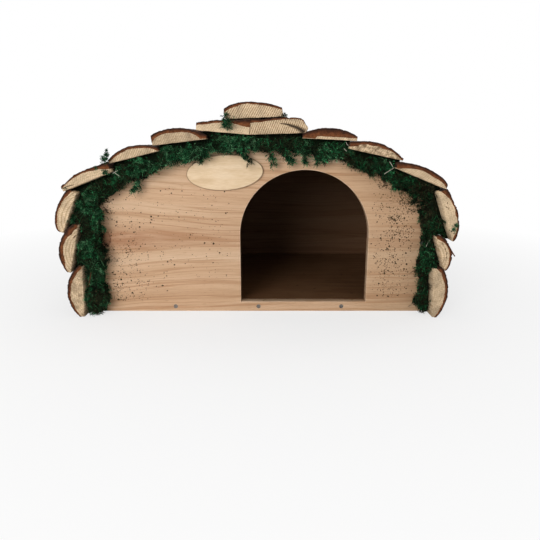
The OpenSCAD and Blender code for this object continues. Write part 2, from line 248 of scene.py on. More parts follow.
class Slab:
    """A slab's own axes: s along its flat side from the upper edge, h out of it, and y."""

    def __init__(self, name, barks, nails):
        wood = node_points(name)
        self.name = name.replace("slab_", "")
        self.look = LOOKS[self.name]
        self.out = self.flat_out(name)
        self.along = np.array([self.out[1], -self.out[0]])
        if "left" in name:
            self.along = -self.along
        section = wood[:, [0, 2]]
        s, h = section @ self.along, section @ self.out
        self.origin = s.min() * self.along + h.min() * self.out
        self.width = np.ptp(s)
        self.y = wood[:, 1].min(), wood[:, 1].max()
        middle = section.mean(axis=0)
        bark = min(barks, key=lambda b: np.linalg.norm(b[:, [0, 2]].mean(axis=0) - middle))
        self.hull = upper_hull(self.local(bark)[:, :2])
        self.centre = circle_centre(self.hull)
        self.nails = [spot for spot in map(self.nail_spot, nails) if spot is not None]
        self.seed = sum(ord(c) * (n + 1) for n, c in enumerate(name))

    def flat_out(self, name):
        """Direction out of the slab's flat side into the wood, from the largest long face."""
        areas = {}
        for face in NODES[name].data.polygons:
            if abs(face.normal.y) < 0.01:
                key = round(face.normal.x, 3), round(face.normal.z, 3)
                areas[key] = areas.get(key, 0) + face.area
        flat = np.array(max(areas, key=areas.get))
        return -flat / np.linalg.norm(flat)

    def local(self, points):
        section = points[:, [0, 2]] - self.origin
        return np.stack([section @ self.along, section @ self.out, points[:, 1]], axis=1)

    def nail_spot(self, nail):
        """Place of a nail's head along the slab, or None for another slab's nail."""
        p = self.local(nail)
        head = p[p[:, 1] > p[:, 1].max() - 0.8]
        s, h, y = head.mean(axis=0)
        return (s, y) if 0 < s < self.width and abs(self.outer(s) - h) < 1.2 else None

    def outer(self, s):
        """Height of the bark above the flat side."""
        reach, drop = self.look.round_off
        past = np.clip((s - self.width + reach) / reach, 0, 1)
        heap = self.look.heap * np.clip(1 - s / HEAP_REACH, 0, 1) ** 2
        return np.interp(s, self.hull[:, 0], self.hull[:, 1]) - drop * (1 - np.sqrt(1 - past ** 2)) + heap

    def place(self, s, h, y):
        """Points in the house's frame."""
        s, h, y = np.broadcast_arrays(s, h, y)
        lower = self.look.bulge * smooth(0.75, 1, s / self.width)
        shear, skew = self.look.lean
        leaning = (shear + skew * np.sin(np.pi * s / self.width)) * h / LEAN_TOP
        s = s + lower * np.sin(np.pi * np.clip(h / BULGE_TOP, 0, 1)) - leaning
        s = s - self.look.longer * smooth(-0.2, 0, -s / self.width)
        section = self.origin + s[..., None] * self.along + h[..., None] * self.out
        return points3(section[..., 0], y, section[..., 1])


def upper_hull(points):
    hull = []
    points = points.round(2)
    for p in points[np.lexsort((points[:, 1], points[:, 0]))]:
        while hull and p[0] - hull[-1][0] < 1e-3:
            hull.pop()
        while len(hull) > 1 and turn(hull[-2], hull[-1], p) >= -1e-9:
            hull.pop()
        hull.append(p)
    return np.array(hull)


def turn(a, b, c):
    return (b[0] - a[0]) * (c[1] - a[1]) - (b[1] - a[1]) * (c[0] - a[0])


def circle_centre(points):
    """Middle of the circle that fits the points best."""
    rows = np.column_stack([2 * points, np.ones(len(points))])
    return np.linalg.lstsq(rows, (points ** 2).sum(axis=1), rcond=None)[0][:2]


# Materials

PALE_WOOD = (0.66, 0.5, 0.325)
STAIN = (0.2, 0.13, 0.07)
# Near-black painted shade inside the cracks of the slabs' ends
CRACK_SHADE = (0.02, 0.012, 0.007)
BOARD_TONES = (0.7, 0.5, 0.335), (0.63, 0.415, 0.26), (0.54, 0.335, 0.195)
GRAIN_LINE = (0.74, 0.63, 0.53)
RING_LINE = (0.74, 0.62, 0.52)
KNOT_RED = (0.33, 0.135, 0.06)
KNOT_DARK = (0.1, 0.03, 0.014)


class Nodes:
    """Short way to write a tree of nodes. A socket or a plain value goes into any input."""

    def __init__(self, tree):
        self.tree = tree

    def add(self, kind, inputs=None, **settings):
        node = self.tree.nodes.new(kind)
        for key, value in settings.items():
            setattr(node, key, value)
        for key, value in (inputs or {}).items():
            self.set(node.inputs[key], value)
        return node

    def set(self, socket, value):
        if isinstance(value, bpy.types.NodeSocket):
            self.tree.links.new(value, socket)
        elif value is not None:
            opaque = socket.type == "RGBA" and len(value) == 3
            socket.default_value = (*value, 1) if opaque else value

    def math(self, operation, a, b=None):
        return self.add("ShaderNodeMath", {0: a, 1: b}, operation=operation).outputs[0]

    def plus(self, a, b):
        return self.math("ADD", a, b)

    def times(self, a, b):
        return self.math("MULTIPLY", a, b)

    def over(self, a, b):
        return self.math("DIVIDE", a, b)

    def split(self, vector):
        return self.add("ShaderNodeSeparateXYZ", {0: vector}).outputs

    def join(self, x, y, z):
        return self.add("ShaderNodeCombineXYZ", {0: x, 1: y, 2: z}).outputs[0]

    def length(self, vector):
        return self.add("ShaderNodeVectorMath", {0: vector}, operation="LENGTH").outputs["Value"]


class Shader(Nodes):
    """A material with one plain surface."""

    def __init__(self, name, roughness, gloss=0.2):
        self.material = bpy.data.materials.new(name)
        self.material.use_nodes = True
        super().__init__(self.material.node_tree)
        self.tree.nodes.clear()
        finish = {"Roughness": roughness, "Specular IOR Level": gloss}
        self.surface = self.add("ShaderNodeBsdfPrincipled", finish)
        self.out = self.add("ShaderNodeOutputMaterial", {"Surface": self.surface.outputs[0]})

    def finish(self, colour, height=None, depth=0.3):
        """Sets the colour, and a bump whose height is in millimetres times depth."""
        self.set(self.surface.inputs["Base Color"], colour)
        if height is not None:
            bump = self.add("ShaderNodeBump", {"Height": height, "Distance": depth * MM, "Strength": 1.0})
            self.set(self.surface.inputs["Normal"], bump.outputs[0])
        return self.material

    def value(self, name):
        return self.add("ShaderNodeAttribute", attribute_name=name).outputs["Fac"]

    def vector(self, name):
        return self.add("ShaderNodeAttribute", attribute_name=name).outputs["Vector"]

    def place(self):
        """Place on the object in millimetres."""
        place = self.add("ShaderNodeTexCoord").outputs["Object"]
        return self.add("ShaderNodeVectorMath", {0: place, 1: (1 / MM,) * 3}, operation="MULTIPLY").outputs[0]

    def stretch(self, vector, scale, turn_deg=0.0):
        """Vector turned about its third axis, then scaled."""
        turned = self.add("ShaderNodeMapping", {"Vector": vector, "Rotation": (0, 0, math.radians(turn_deg))})
        mapping = self.add("ShaderNodeMapping", {"Vector": turned.outputs[0], "Scale": scale})
        return mapping.outputs[0]

    def noise(self, vector, scale, detail=3.0, rough=0.55):
        """Noise from 0 to 1 whose features are about 1 / scale across, along each axis."""
        scale = scale if np.ndim(scale) else (scale,) * 3
        inputs = {"Vector": self.stretch(vector, scale), "Scale": 1.0, "Detail": detail, "Roughness": rough}
        return self.add("ShaderNodeTexNoise", inputs).outputs["Fac"]

    def facing(self):
        """How far the surface faces along Y, from -1 to 1."""
        return self.split(self.add("ShaderNodeNewGeometry").outputs["True Normal"])["Y"]

    def ramp(self, value, *stops):
        """Colours or greys at places from 0 to 1."""
        node = self.add("ShaderNodeValToRGB", {"Fac": value})
        elements = node.color_ramp.elements
        while len(elements) < len(stops):
            elements.new(0.5)
        for element, (place, colour) in zip(elements, stops):
            element.position = place
            element.color = (*(colour if np.ndim(colour) else (colour,) * 3), 1)
        return node.outputs["Color"]

    def mix(self, share, a, b, blend="MIX"):
        inputs = {0: share, 6: a, 7: b}
        return self.add("ShaderNodeMix", inputs, data_type="RGBA", blend_type=blend).outputs[2]

    def darken(self, colour, grey, share=1.0):
        """Colour times a grey or another colour, which above 1 lightens it."""
        return self.mix(share, colour, grey, "MULTIPLY")


def slab_wood(slab):
    """Sawn end of a log: rings round its middle, saw marks, pores, stains, and cracks darkened
    with painted shade.
    """
    look = slab.look
    m = Shader("wood_" + slab.name, 0.75)
    log = m.vector("log")
    flat = m.add("ShaderNodeVectorMath", {0: log, 1: (1, 1, 0)}, operation="MULTIPLY").outputs[0]
    wander = m.noise(log, (0.12, 0.12, 0.01))
    ring = m.math("FRACT", m.plus(m.over(m.length(flat), look.ring), wander))
    rings = m.ramp(ring, (0.0, 1.0), (0.5, 0.92), (0.84, (0.6, 0.54, 0.46)), (1.0, 0.98))
    broad = m.noise(log, (0.09, 0.09, 0.02), 2)
    colour = m.ramp(broad, (0.3, look.shade(0.76)), (0.5, look.shade(1.0)), (0.72, look.shade(1.16)))
    colour = m.darken(colour, rings, look.rings)
    wave = m.add("ShaderNodeTexWave", {
        "Vector": m.stretch(log, (1, 1, 0.02), 90 - look.saw_deg), "Scale": math.pi / 10 / SAW_PITCH,
        "Distortion": 1.1, "Detail": 2.0, "Detail Scale": 1.5}, bands_direction="X").outputs["Fac"]
    broken = m.times(m.ramp(m.noise(log, (0.3, 0.3, 0.02)), (0.3, 0.35), (0.6, 1.0)), look.saw)
    colour = m.darken(colour, m.ramp(wave, (0.05, (0.4, 0.31, 0.21)), (0.55, 0.95), (0.85, 1.1)), broken)
    pores = m.noise(log, (0.9, 0.9, 0.05), 4, 0.7)
    colour = m.darken(colour, m.ramp(pores, (0.32, (0.46, 0.38, 0.29)), (0.47, 0.95), (0.65, 1.12)), 0.9)
    blotch = m.ramp(m.noise(log, (0.2, 0.2, 0.03), 4, 0.65), (0.42, 0.0), (0.66, 1.0))
    colour = m.mix(m.times(blotch, look.stain), colour, STAIN)
    # Painted shade in the cracks, and a little darkening of the long sides
    colour = m.mix(m.value("dark"), colour, CRACK_SHADE)
    return m.finish(colour, m.plus(m.times(wave, broken), pores), 0.25)


def bark_material():
    """Chestnut bark: cracks between plates darkened with painted shade, paler worn tops, redder on a
    broken edge.
    """
    m = Shader("bark", 0.85)
    place = m.vector("bark")
    broad = m.noise(place, (0.05, 0.05, 0.018), 4, 0.6)
    fine = m.noise(place, (0.5, 0.5, 0.16), 5, 0.65)
    tops = m.ramp(broad, (0.28, (0.03, 0.014, 0.009)), (0.48, (0.075, 0.032, 0.018)),
                  (0.62, (0.125, 0.062, 0.036)), (0.8, (0.17, 0.115, 0.078)))
    colour = m.darken(tops, m.ramp(fine, (0.25, 0.35), (0.5, 0.9), (0.75, 1.5)))
    flecks = m.ramp(m.noise(place, (0.22, 0.22, 0.75), 2), (0.62, 0.0), (0.7, 0.55))
    colour = m.mix(flecks, colour, (0.2, 0.13, 0.085))
    # Painted shade deep in the bark's fissures
    colour = m.mix(m.value("deep"), colour, (0.012, 0.006, 0.004))
    across = m.ramp(m.value("rim"), (0.12, (0.022, 0.008, 0.004)), (0.38, (0.075, 0.023, 0.008)),
                    (0.62, (0.145, 0.046, 0.015)), (1.0, (0.195, 0.07, 0.024)))
    uneven = m.noise(place, (0.16, 0.3, 0.05), 3, 0.6)
    broken = m.darken(across, m.ramp(uneven, (0.3, 0.4), (0.5, 0.9), (0.7, 1.25)))
    broken = m.darken(broken, m.ramp(fine, (0.28, 0.45), (0.5, 1.0), (0.75, 1.5)))
    colour = m.mix(m.ramp(m.value("rim"), (0.02, 0.0), (0.1, 1.0)), colour, broken)
    return m.finish(colour, fine, 0.5)


def board_wood(name, tone=1.0, knot=None, outside=0):
    """Planed softwood board: grain along X that bends round a knot, growth lines, pores. A panel whose
    outside is along Y, -1 or 1, has painted shade on its inside and paler edges, partly worn wood and partly
    painted highlight."""
    m = Shader(name, 0.65)
    parts = m.split(m.place())
    line = parts["Z"]
    if knot:
        line, red, heart = bent_line(m, parts, knot)
    along = m.times(parts["X"], 0.006)
    grain = m.join(along, m.times(parts["Y"], 0.08), line)
    wander = m.times(m.noise(grain, (1.0, 1.0, 0.02), 2), 14.0)
    layer = m.join(m.times(along, 0.25), 0.0, m.plus(line, wander))
    light, middle, dark = [tuple(np.multiply(tone, rgb)) for rgb in BOARD_TONES]
    tones = m.noise(layer, (1.0, 1.0, 0.045), 3, 0.5)
    colour = m.ramp(tones, (0.3, dark), (0.5, middle), (0.68, light))
    lines = m.noise(layer, (1.0, 1.0, 0.3), 2, 0.5)
    colour = m.darken(colour, m.ramp(lines, (0.34, GRAIN_LINE), (0.42, 1.0), (1.0, 1.03)), 0.45)
    rings = m.noise(layer, (1.0, 1.0, 0.1), 2, 0.5)
    thin = m.ramp(rings, (0.47, 1.0), (0.492, RING_LINE), (0.5, RING_LINE), (0.522, 1.0))
    colour = m.darken(colour, thin, 0.7)
    fibre = m.noise(grain, (5.0, 1.0, 1.6), 3, 0.6)
    colour = m.darken(colour, m.ramp(fibre, (0.3, (0.86, 0.82, 0.77)), (0.55, 1.0), (0.8, 1.05)))
    pores = m.noise(grain, (22.0, 1.0, 2.4), 1)
    colour = m.darken(colour, m.ramp(pores, (0.22, (0.6, 0.5, 0.4)), (0.34, 1.0)), 0.7)
    if knot:
        colour = m.mix(red, colour, KNOT_RED)
        colour = m.mix(heart, colour, KNOT_DARK)
        # Darker to the right of the door, partly dust and partly painted shade where the light falls off
        right = m.plus(m.times(parts["X"], 0.002), 0.5)
        colour = m.darken(colour, m.ramp(right, (0.68, 1.0), (0.78, (0.84, 0.83, 0.8))))
    if outside:
        # Inside faces get painted shade; the chamfer facets a paler tone, partly worn wood and partly painted
        # highlight
        outward = m.plus(m.times(m.facing(), 0.5 * outside), 0.5)
        edges = [(0.2, INSIDE_SHADE), (0.42, 0.8), (0.6, WORN_EDGE_AND_HIGHLIGHT), (0.97, WORN_EDGE_AND_HIGHLIGHT), (0.995, 1.0)]
        colour = m.darken(colour, m.ramp(outward, *edges))
    return m.finish(colour, m.plus(fibre, pores), 0.12)


def bent_line(m, parts, knot):
    """Height of the grain line through a place beside the knot, how red the wood is there, and how
    far the knot's own dark wood covers it."""
    x, z, reach, push = knot
    dx, dz = m.math("SUBTRACT", parts["X"], x), m.math("SUBTRACT", parts["Z"], z)
    near = m.over(dx, reach)
    fall = m.over(1.0, m.plus(1.0, m.times(near, near)))
    squeeze = m.over(dz, m.plus(m.math("ABSOLUTE", dz), 0.4 * push))
    line = m.math("SUBTRACT", parts["Z"], m.times(m.times(squeeze, fall), push))
    band = m.over(dz, 0.85 * push)
    streak = m.over(1.0, m.plus(1.0, m.math("POWER", m.times(band, band), 2.0)))
    flush = m.times(streak, m.plus(0.25, m.times(0.75, m.times(fall, fall))))
    ragged = m.noise(m.place(), (0.03, 0.1, 0.25), 3)
    red = m.times(flush, m.ramp(ragged, (0.3, 0.3), (0.7, 0.95)))
    half_x, half_z = m.over(dx, KNOT_HEART[0]), m.over(dz, KNOT_HEART[1])
    away = m.plus(m.times(half_x, half_x), m.times(half_z, half_z))
    knotty = m.plus(away, m.noise(m.place(), 0.4, 4, 0.65))
    return line, red, m.ramp(knotty, (0.4, 0.4), (0.72, 0.5), (0.84, 0.95), (0.93, 0.4), (1.0, 0.0))


def plate_wood():
    """Thin pale plywood, faintly figured, with edges darkened brown, partly scorch and partly painted shadow.
    """
    m = Shader("plate_wood", 0.55)
    place = m.place()
    figure = m.noise(place, (0.025, 0.05, 0.11), 4, 0.6)
    colour = m.ramp(figure, (0.3, (0.66, 0.475, 0.29)), (0.5, (0.76, 0.575, 0.375)),
                    (0.7, (0.82, 0.65, 0.46)))
    fibre = m.noise(place, (0.12, 1.0, 1.9), 3)
    colour = m.darken(colour, m.ramp(fibre, (0.3, (0.9, 0.86, 0.8)), (0.6, 1.02)))
    flecks = m.ramp(m.noise(place, (0.5, 1.0, 0.9), 2), (0.68, 0.0), (0.76, 0.4))
    colour = m.mix(flecks, colour, (0.5, 0.33, 0.18))
    # Dark brown on the edge facets: partly scorch, partly painted shadow along the edge
    edge = m.ramp(m.math("ABSOLUTE", m.facing()), (0.88, 1.0), (0.97, 0.0))
    colour = m.mix(edge, colour, (0.2, 0.1, 0.045))
    return m.finish(colour, fibre, 0.05)


def grainy(name, roughness, scale, detail, depth, *tones):
    """Plain material whose tones and bumps follow one noise."""
    m = Shader(name, roughness)
    grain = m.noise(m.place(), scale, detail)
    return m.finish(m.ramp(grain, *tones), grain, depth)


def felt_material():
    return grainy("felt", 0.95, 1.4, 3, 0.4, (0.3, (0.012, 0.012, 0.013)), (0.6, (0.035, 0.034, 0.033)),
                  (0.8, (0.07, 0.068, 0.064)))


def stalk_material():
    return grainy("pale_stalk", 0.6, (0.2, 1.5, 1.5), 3, 0.1, (0.3, (0.36, 0.33, 0.24)),
                  (0.7, (0.66, 0.64, 0.55)))


def crumb_material():
    return grainy("moss_crumbs", 0.9, 0.4, 2, 0.2, (0.35, (0.035, 0.024, 0.01)), (0.65, (0.11, 0.075, 0.035)))


def nail_material():
    m = Shader("nail_steel", 0.45)
    m.set(m.surface.inputs["Metallic"], 1.0)
    place = m.place()
    dull = m.noise(place, 0.9, 4)
    rust = m.ramp(m.noise(place, 0.35, 4, 0.6), (0.5, 0.0), (0.68, 0.8))
    colour = m.ramp(dull, (0.3, (0.14, 0.13, 0.12)), (0.7, (0.3, 0.29, 0.27)))
    return m.finish(m.mix(rust, colour, (0.14, 0.06, 0.03)), dull, 0.05)


def moss_material(name, depth):
    """Dyed dried moss: bottle green, brighter at its tip, darkened towards the frond's base with painted shade
    whose darkness there is depth.
    """
    m = Shader(name, 0.75, 0.08)
    tint = m.value("tint")
    colour = m.ramp(tint, (0.0, (0.032, 0.03, 0.014)), (0.2, (0.015, 0.026, 0.011)),
                    (0.42, (0.014, 0.045, 0.018)), (0.68, (0.018, 0.1, 0.037)),
                    (0.88, (0.028, 0.19, 0.07)), (1.0, (0.13, 0.31, 0.15)))
    mottle = m.noise(m.place(), 0.6, 3)
    colour = m.darken(colour, m.ramp(mottle, (0.3, 0.5), (0.65, 1.3)))
    # Painted shade deep in the moss, darkest at each frond's base; the tips are brighter
    colour = m.darken(colour, m.ramp(m.value("tip"), (0.0, depth), (0.35, 0.45), (1.0, 2.2)))
    return m.finish(colour, mottle, 0.3)


# Log slabs

@dataclass
class Look:
    """How a slab's sawn ends look, and how its log departs from an even one."""
    band: tuple  # bark shown at the upper edge, crown and lower edge
    saw_deg: float  # lie of the saw marks
    saw: float  # strength of the saw marks
    rings: float  # strength of the growth rings
    stain: float  # strength of the dark stains
    tone: float = 1.0  # how light the wood is
    ring: float = 2.7  # pitch of the growth rings
    most: float = 99.0  # most wood that shows
    middle: float = None  # how far down the slab its upper bark thins out
    round_off: tuple = (1.0, 0.0)  # reach and drop of the rounded lower corner
    heap: float = 0.0  # how high the bark is heaped at the upper edge
    bulge: float = 0.0  # how far the lower edge bulges
    lean: tuple = (0.0, 0.0)  # how far the top leans as a whole and in the middle
    longer: float = 0.0  # how much longer it is at the upper edge

    def shade(self, share):
        """Colour of the wood, with its light changed by a share."""
        return tuple(self.tone * share * c for c in PALE_WOOD)


LOOKS = {
    "ridge": Look((3.6, 2.8, 2.2), 58, 0.95, 0.15, 0.1, 1.04, lean=(2.5, 6.0), longer=2.4),
    "left_1": Look((8.5, 2.8, 4.0), 120, 0.25, 0.2, 0.1, 1.0, middle=23.0, heap=2.4, longer=0.9),
    "left_2": Look((8.0, 4.4, 6.5), 125, 0.45, 0.35, 0.45, 0.84),
    "left_3": Look((3.4, 3.4, 3.4), 130, 0.6, 0.2, 0.35, 1.0),
    "left_4": Look((8.0, 3.0, 2.6), 110, 0.3, 0.35, 0.2, 1.04, heap=3.0),
    "left_5": Look((6.0, 2.8, 2.0), 80, 0.25, 1.0, 0.1, 1.16, 3.8, round_off=(6.0, 2.0), heap=3.0),
    "left_6": Look((11.0, 6.4, 1.8), 80, 0.25, 0.95, 0.2, 1.03, 3.4),
    "left_7": Look((7.0, 4.2, 3.4), 70, 0.2, 0.6, 0.75, 1.08),
    "right_1": Look((4.2, 2.2, 2.6), 66, 1.0, 0.1, 0.15, 0.98, round_off=(8.0, 4.5), heap=3.0, bulge=3.5,
                    longer=0.9),
    "right_2": Look((9.0, 8.4, 2.5), 60, 0.4, 0.2, 0.3, 1.05, 2.7, 3.2),
    "right_3": Look((6.0, 4.0, 4.0), 65, 0.5, 0.3, 1.3, 1.14, heap=1.2),
    "right_4": Look((8.0, 5.4, 4.6), 62, 0.6, 0.2, 0.2, 1.04, round_off=(9.0, 2.0)),
    "right_5": Look((7.0, 3.0, 4.6), 85, 0.2, 0.25, 0.15, 1.12, round_off=(12.0, 3.0), heap=2.5),
    "right_6": Look((7.5, 3.0, 2.6), 75, 0.3, 0.95, 0.25, 1.19, 3.2, round_off=(9.0, 2.0)),
    "right_7": Look((6.0, 4.0, 3.0), 70, 0.25, 0.4, 0.3, 1.0),
}
# Cracks in the slabs' front ends, as half width at the last point, then points along s and h
CRACKS = {
    "right_1": [(1.9, (32, 11.0), (40, 9.6), (48, 6.6), (55.5, 1.4))],
    "left_4": [(0.22, (44, 2.6), (51, 3.6), (56, 3.2))],
    "right_5": [(0.3, (14, 6.8), (15.4, 6.4)), (0.3, (18, 4.2), (19.4, 4.6)), (0.25, (20.5, 6.4), (22, 5.6))],
    "right_6": [(0.3, (9, 5.2), (11.4, 6.4)), (0.3, (17, 7.5), (19, 6.6)), (0.3, (22, 8.2), (24.5, 7.0)),
                (0.25, (27, 6), (29, 6.6))],
    "left_6": [(0.35, (12, 1.2), (15, 2.8))],
}
CRACK_DEPTH = 4.0
CRACK_START = 0.2
END_SETBACK = 3.0
END_LEAN = 1.4


def slab_ends(slab):
    """Where the front and back sawn ends stand, each a little short of the slab's full length."""
    short = np.random.default_rng(slab.seed).uniform(0.2, END_SETBACK, 2)
    return slab.y[0] + short[0], slab.y[1] - short[1]


def bark_band(slab, s):
    """How much bark shows on the slab's end."""
    upper, crown, lower = slab.look.band
    middle = slab.look.middle or np.clip(slab.centre[0], 0.2 * slab.width, 0.8 * slab.width)
    share = np.where(s < middle, (middle - s) / middle, (s - middle) / (slab.width - middle))
    power = 1.2 if slab.look.middle else 2.4
    band = crown + (np.where(s < middle, upper, lower) - crown) * np.clip(share, 0, 1) ** power
    return band * (1 + 0.2 * noise(points3(s, 0, 0), 6, slab.seed))


def wood_top(slab, s):
    return np.clip(slab.outer(s) - bark_band(slab, s), WOOD_MIN, slab.look.most)


def bark_relief(slab, s, y):
    """How far the bark lies below its even surface, and how deep in a crack."""
    seed = slab.seed
    p = points3(s, y, seed)
    drift = points3(4 * noise(p, (30, 45, 1), seed + 3), 0, 0)
    lines = noise(p + drift, (6.5, 42, 1), seed)
    rough = smooth(-0.35, 0.45, noise(p, (26, 70, 1), seed + 5))
    crack = np.exp(-(lines / 0.14) ** 2) * (0.2 + 0.8 * rough)
    steps = smooth(0.1, 0.2, noise(p, (9, 16, 1), seed + 21)) * 0.45 * rough
    bumps = 0.35 * fbm(p, (2.6, 6, 1), seed + 9)
    swell = 0.5 * (1 + noise(p, (30, 90, 1), seed + 13))
    welts = 0.3 * smooth(0.45, 0.7, noise(p, (5, 1.6, 1), seed + 17))
    covered = smooth(COVERED[1], COVERED[0], s)
    relief = (FISSURE_DEPTH * crack + steps + bumps + swell - welts) * (1 - 0.8 * covered)
    for nail_s, nail_y in slab.nails:
        away = np.hypot(s - nail_s, y - nail_y)
        relief = relief + NAIL_DIMPLE * np.exp(-(away / NAIL_DIMPLE_R) ** 2)
    return relief, crack


def bark_piece(slab, material):
    """Bark as a shell: its outside, ragged rims at both ends, and a plain inside against the wood."""
    s = np.linspace(0, slab.width, round(slab.width / BARK_COLUMN) + 1)[:, None]
    front, back = slab_ends(slab)
    ragged = [BARK_SETBACK * np.abs(fbm(points3(s, end, 0), 5, slab.seed + 31)) for end in (0, 50)]
    first, last = front + 0.3 + ragged[0], back - 0.3 - ragged[1]
    y = first + (last - first) * np.linspace(0, 1, round((back - front) / BARK_ROW) + 1)
    relief, crack = bark_relief(slab, s, y)
    inner = wood_top(slab, s) - BARK_BITE
    h = np.maximum(slab.outer(s) - relief, inner + BARK_LEAST)
    rim = np.linspace(0, 1, RIM_ROWS + 1)[1:]
    chips = 0.5 * fbm(points3(s, 3 * rim, 9), 2.5, slab.seed + 37)
    front_h, back_h = [edge + (inner - edge) * rim for edge in (h[:, :1], h[:, -1:])]
    round_off = 0.5 * (1 - np.sin(np.pi * rim))
    hs = [inner, front_h[:, ::-1], h, back_h, inner]
    rim_y = round_off + chips - RIM_LIP
    ys = [first + BARK_TUCK, (first + rim_y)[:, ::-1], y, last - rim_y, last - BARK_TUCK]
    across = [np.ones_like(s), np.broadcast_to(rim[::-1], front_h.shape), 0 * h,
              np.broadcast_to(rim, back_h.shape), np.ones_like(s)]
    deeps = [np.zeros_like(part) for part in hs]
    deeps[2] = crack
    h, y, across, deep = [np.hstack(parts) for parts in (hs, ys, across, deeps)]
    s = np.broadcast_to(s, h.shape)
    s, y, across, deep = [np.vstack([a[:1], a, a[-1:]]) for a in (s, y, across, deep)]
    h = np.vstack([np.full_like(h[:1], inner[0, 0]), h, np.full_like(h[:1], inner[-1, 0])])
    ids = np.arange(h.size).reshape(h.shape)
    inside = np.stack([ids[:, 0], ids[:, -1]], axis=1)
    faces = grid_faces(ids) + grid_faces(inside) + [ids[0].tolist(), ids[-1].tolist()]
    local = points3(s + 7 * slab.seed % 997, h, y).reshape(-1, 3)
    values = {"bark": local, "rim": across.ravel(), "deep": deep.ravel()}
    points = slab.place(s, h, y).reshape(-1, 3)
    return new_piece("bark_" + slab.name, points, faces, material, ["slab_bark"], values)


def crack_depth(slab, s, h):
    """1 in the middle of a crack of the slab's end, 0 away from it."""
    depth = np.zeros_like(s)
    for widest, *crack in CRACKS.get(slab.name, []):
        crack = np.array(crack, float)
        half = np.linspace(CRACK_START, widest, len(crack))
        for a, b, half_a, half_b in zip(crack[:-1], crack[1:], half[:-1], half[1:]):
            d = b - a
            t = np.clip(((s - a[0]) * d[0] + (h - a[1]) * d[1]) / (d @ d), 0, 1)
            away = np.hypot(s - a[0] - t * d[0], h - a[1] - t * d[1])
            depth = np.maximum(depth, np.exp(-(away / (half_a + t * (half_b - half_a))) ** 2))
    return depth


def wood_end(slab, end):
    """Grid of s, h, inward relief and darkness of a sawn end, the darkness being painted shade in its
    cracks; end is 0 at the front and 1 at the back.
    """
    columns = round(slab.width / WOOD_COLUMN) + 1
    s = np.linspace(0, slab.width, columns)[:, None]
    v = np.linspace(0, 1, WOOD_ROWS)
    bottom = 0.25 * (1 + fbm(points3(s, end, 5), 8, slab.seed + 41))
    top = wood_top(slab, s)
    h = bottom * np.clip(top - 0.5, 0, 1) * (1 - v) + top * v
    s = np.broadcast_to(s, h.shape)
    angle = math.radians(slab.look.saw_deg)
    across = s * math.sin(angle) - h * math.cos(angle)
    p = points3(s, h, 40 * end)
    saw = SAW_DEPTH * slab.look.saw * np.sin(2 * np.pi * across / SAW_PITCH + 2 * noise(p, 6, slab.seed))
    rough = END_ROUGHNESS * fbm(p, 4, slab.seed + 47)
    lean = END_LEAN * np.random.default_rng(slab.seed + end).uniform(-1, 1) * (s / slab.width - 0.5)
    border = np.minimum(np.minimum(s, slab.width - s), h - h[:, :1] + 0.2)
    worn = 0.7 * np.exp(-border / 0.6) * (1 + noise(p, 3, slab.seed + 53))
    crack = crack_depth(slab, s, h) if end == 0 else np.zeros_like(s)
    relief = saw + rough + lean + 0.5 * END_LEAN + worn + CRACK_DEPTH * crack
    return s, h, relief, crack


def ring_of(ids):
    """Point numbers round the edge of a grid."""
    return np.concatenate([ids[:, 0], ids[-1, 1:], ids[-2::-1, -1], ids[0, -2:0:-1]])


def wood_piece(slab):
    """Wood of a slab: two sawn ends, joined by its long sides."""
    front, back = slab_ends(slab)
    (s0, h0, in0, dark0), (s1, h1, in1, dark1) = [wood_end(slab, end) for end in (0, 1)]
    y0, y1 = front + in0, back - in1
    count = s0.size
    front_ids = np.arange(count).reshape(s0.shape)
    ring = ring_of(front_ids)
    share = np.linspace(0, 1, WOOD_STATIONS + 2)[1:-1, None]

    def between(a, b):
        return (a.ravel()[ring] * (1 - share) + b.ravel()[ring] * share).ravel()

    s, h, y = [np.concatenate([a.ravel(), b.ravel(), between(a, b)])
               for a, b in ((s0, s1), (h0, h1), (y0, y1))]
    # Darkness: painted shade in the front end's cracks, and a little on the long sides
    dark = np.concatenate([dark0.ravel(), dark1.ravel(), np.full(len(ring) * WOOD_STATIONS, SIDE_DARK)])
    stations = np.arange(len(ring) * WOOD_STATIONS).reshape(WOOD_STATIONS, -1) + 2 * count
    long_side = np.vstack([ring, stations, ring + count])
    faces = grid_faces(front_ids) + grid_faces(front_ids + count) + grid_faces(long_side, True)
    points = slab.place(s, h, y)
    values = {"log": slab.local(points) - np.append(slab.centre, 0), "dark": dark}
    replaced = ["slab_" + slab.name]
    return new_piece("wood_" + slab.name, points, faces, slab_wood(slab), replaced, values)


# Boards and plate

SMALL_LOOP = 12.0
SMALL_CHAMFER = 0.1
# Knot in the front panel: x, z, reach along the grain, and how far it pushes the grain aside
PANEL_KNOT = (-177.0, 89.0, 90.0, 13.0)
# Half width and half height of the knot's own dark wood
KNOT_HEART = (8.0, 14.0)


def face_loops(name, y):
    """Closed outlines in X and Z of a node's flat face at y, with the material on the same hand of each."""
    points = node_points(name)
    triangles = node_triangles(name)
    triangles = triangles[(np.abs(points[triangles, 1] - y) < 0.01).all(axis=1)]
    flat, ids = np.unique(points[:, [0, 2]].round(3), axis=0, return_inverse=True)
    triangles = ids.ravel()[triangles]
    edges = {(int(t[n]), int(t[(n + 1) % 3])) for t in triangles for n in range(3)}
    following = {a: b for a, b in edges if (b, a) not in edges}
    loops = []
    while following:
        start, at = following.popitem()
        loop = [start]
        while at != start:
            loop.append(at)
            at = following.pop(at)
        loops.append(flat[loop])
    return sorted(loops, key=lambda loop: -np.ptp(loop, axis=0).sum())


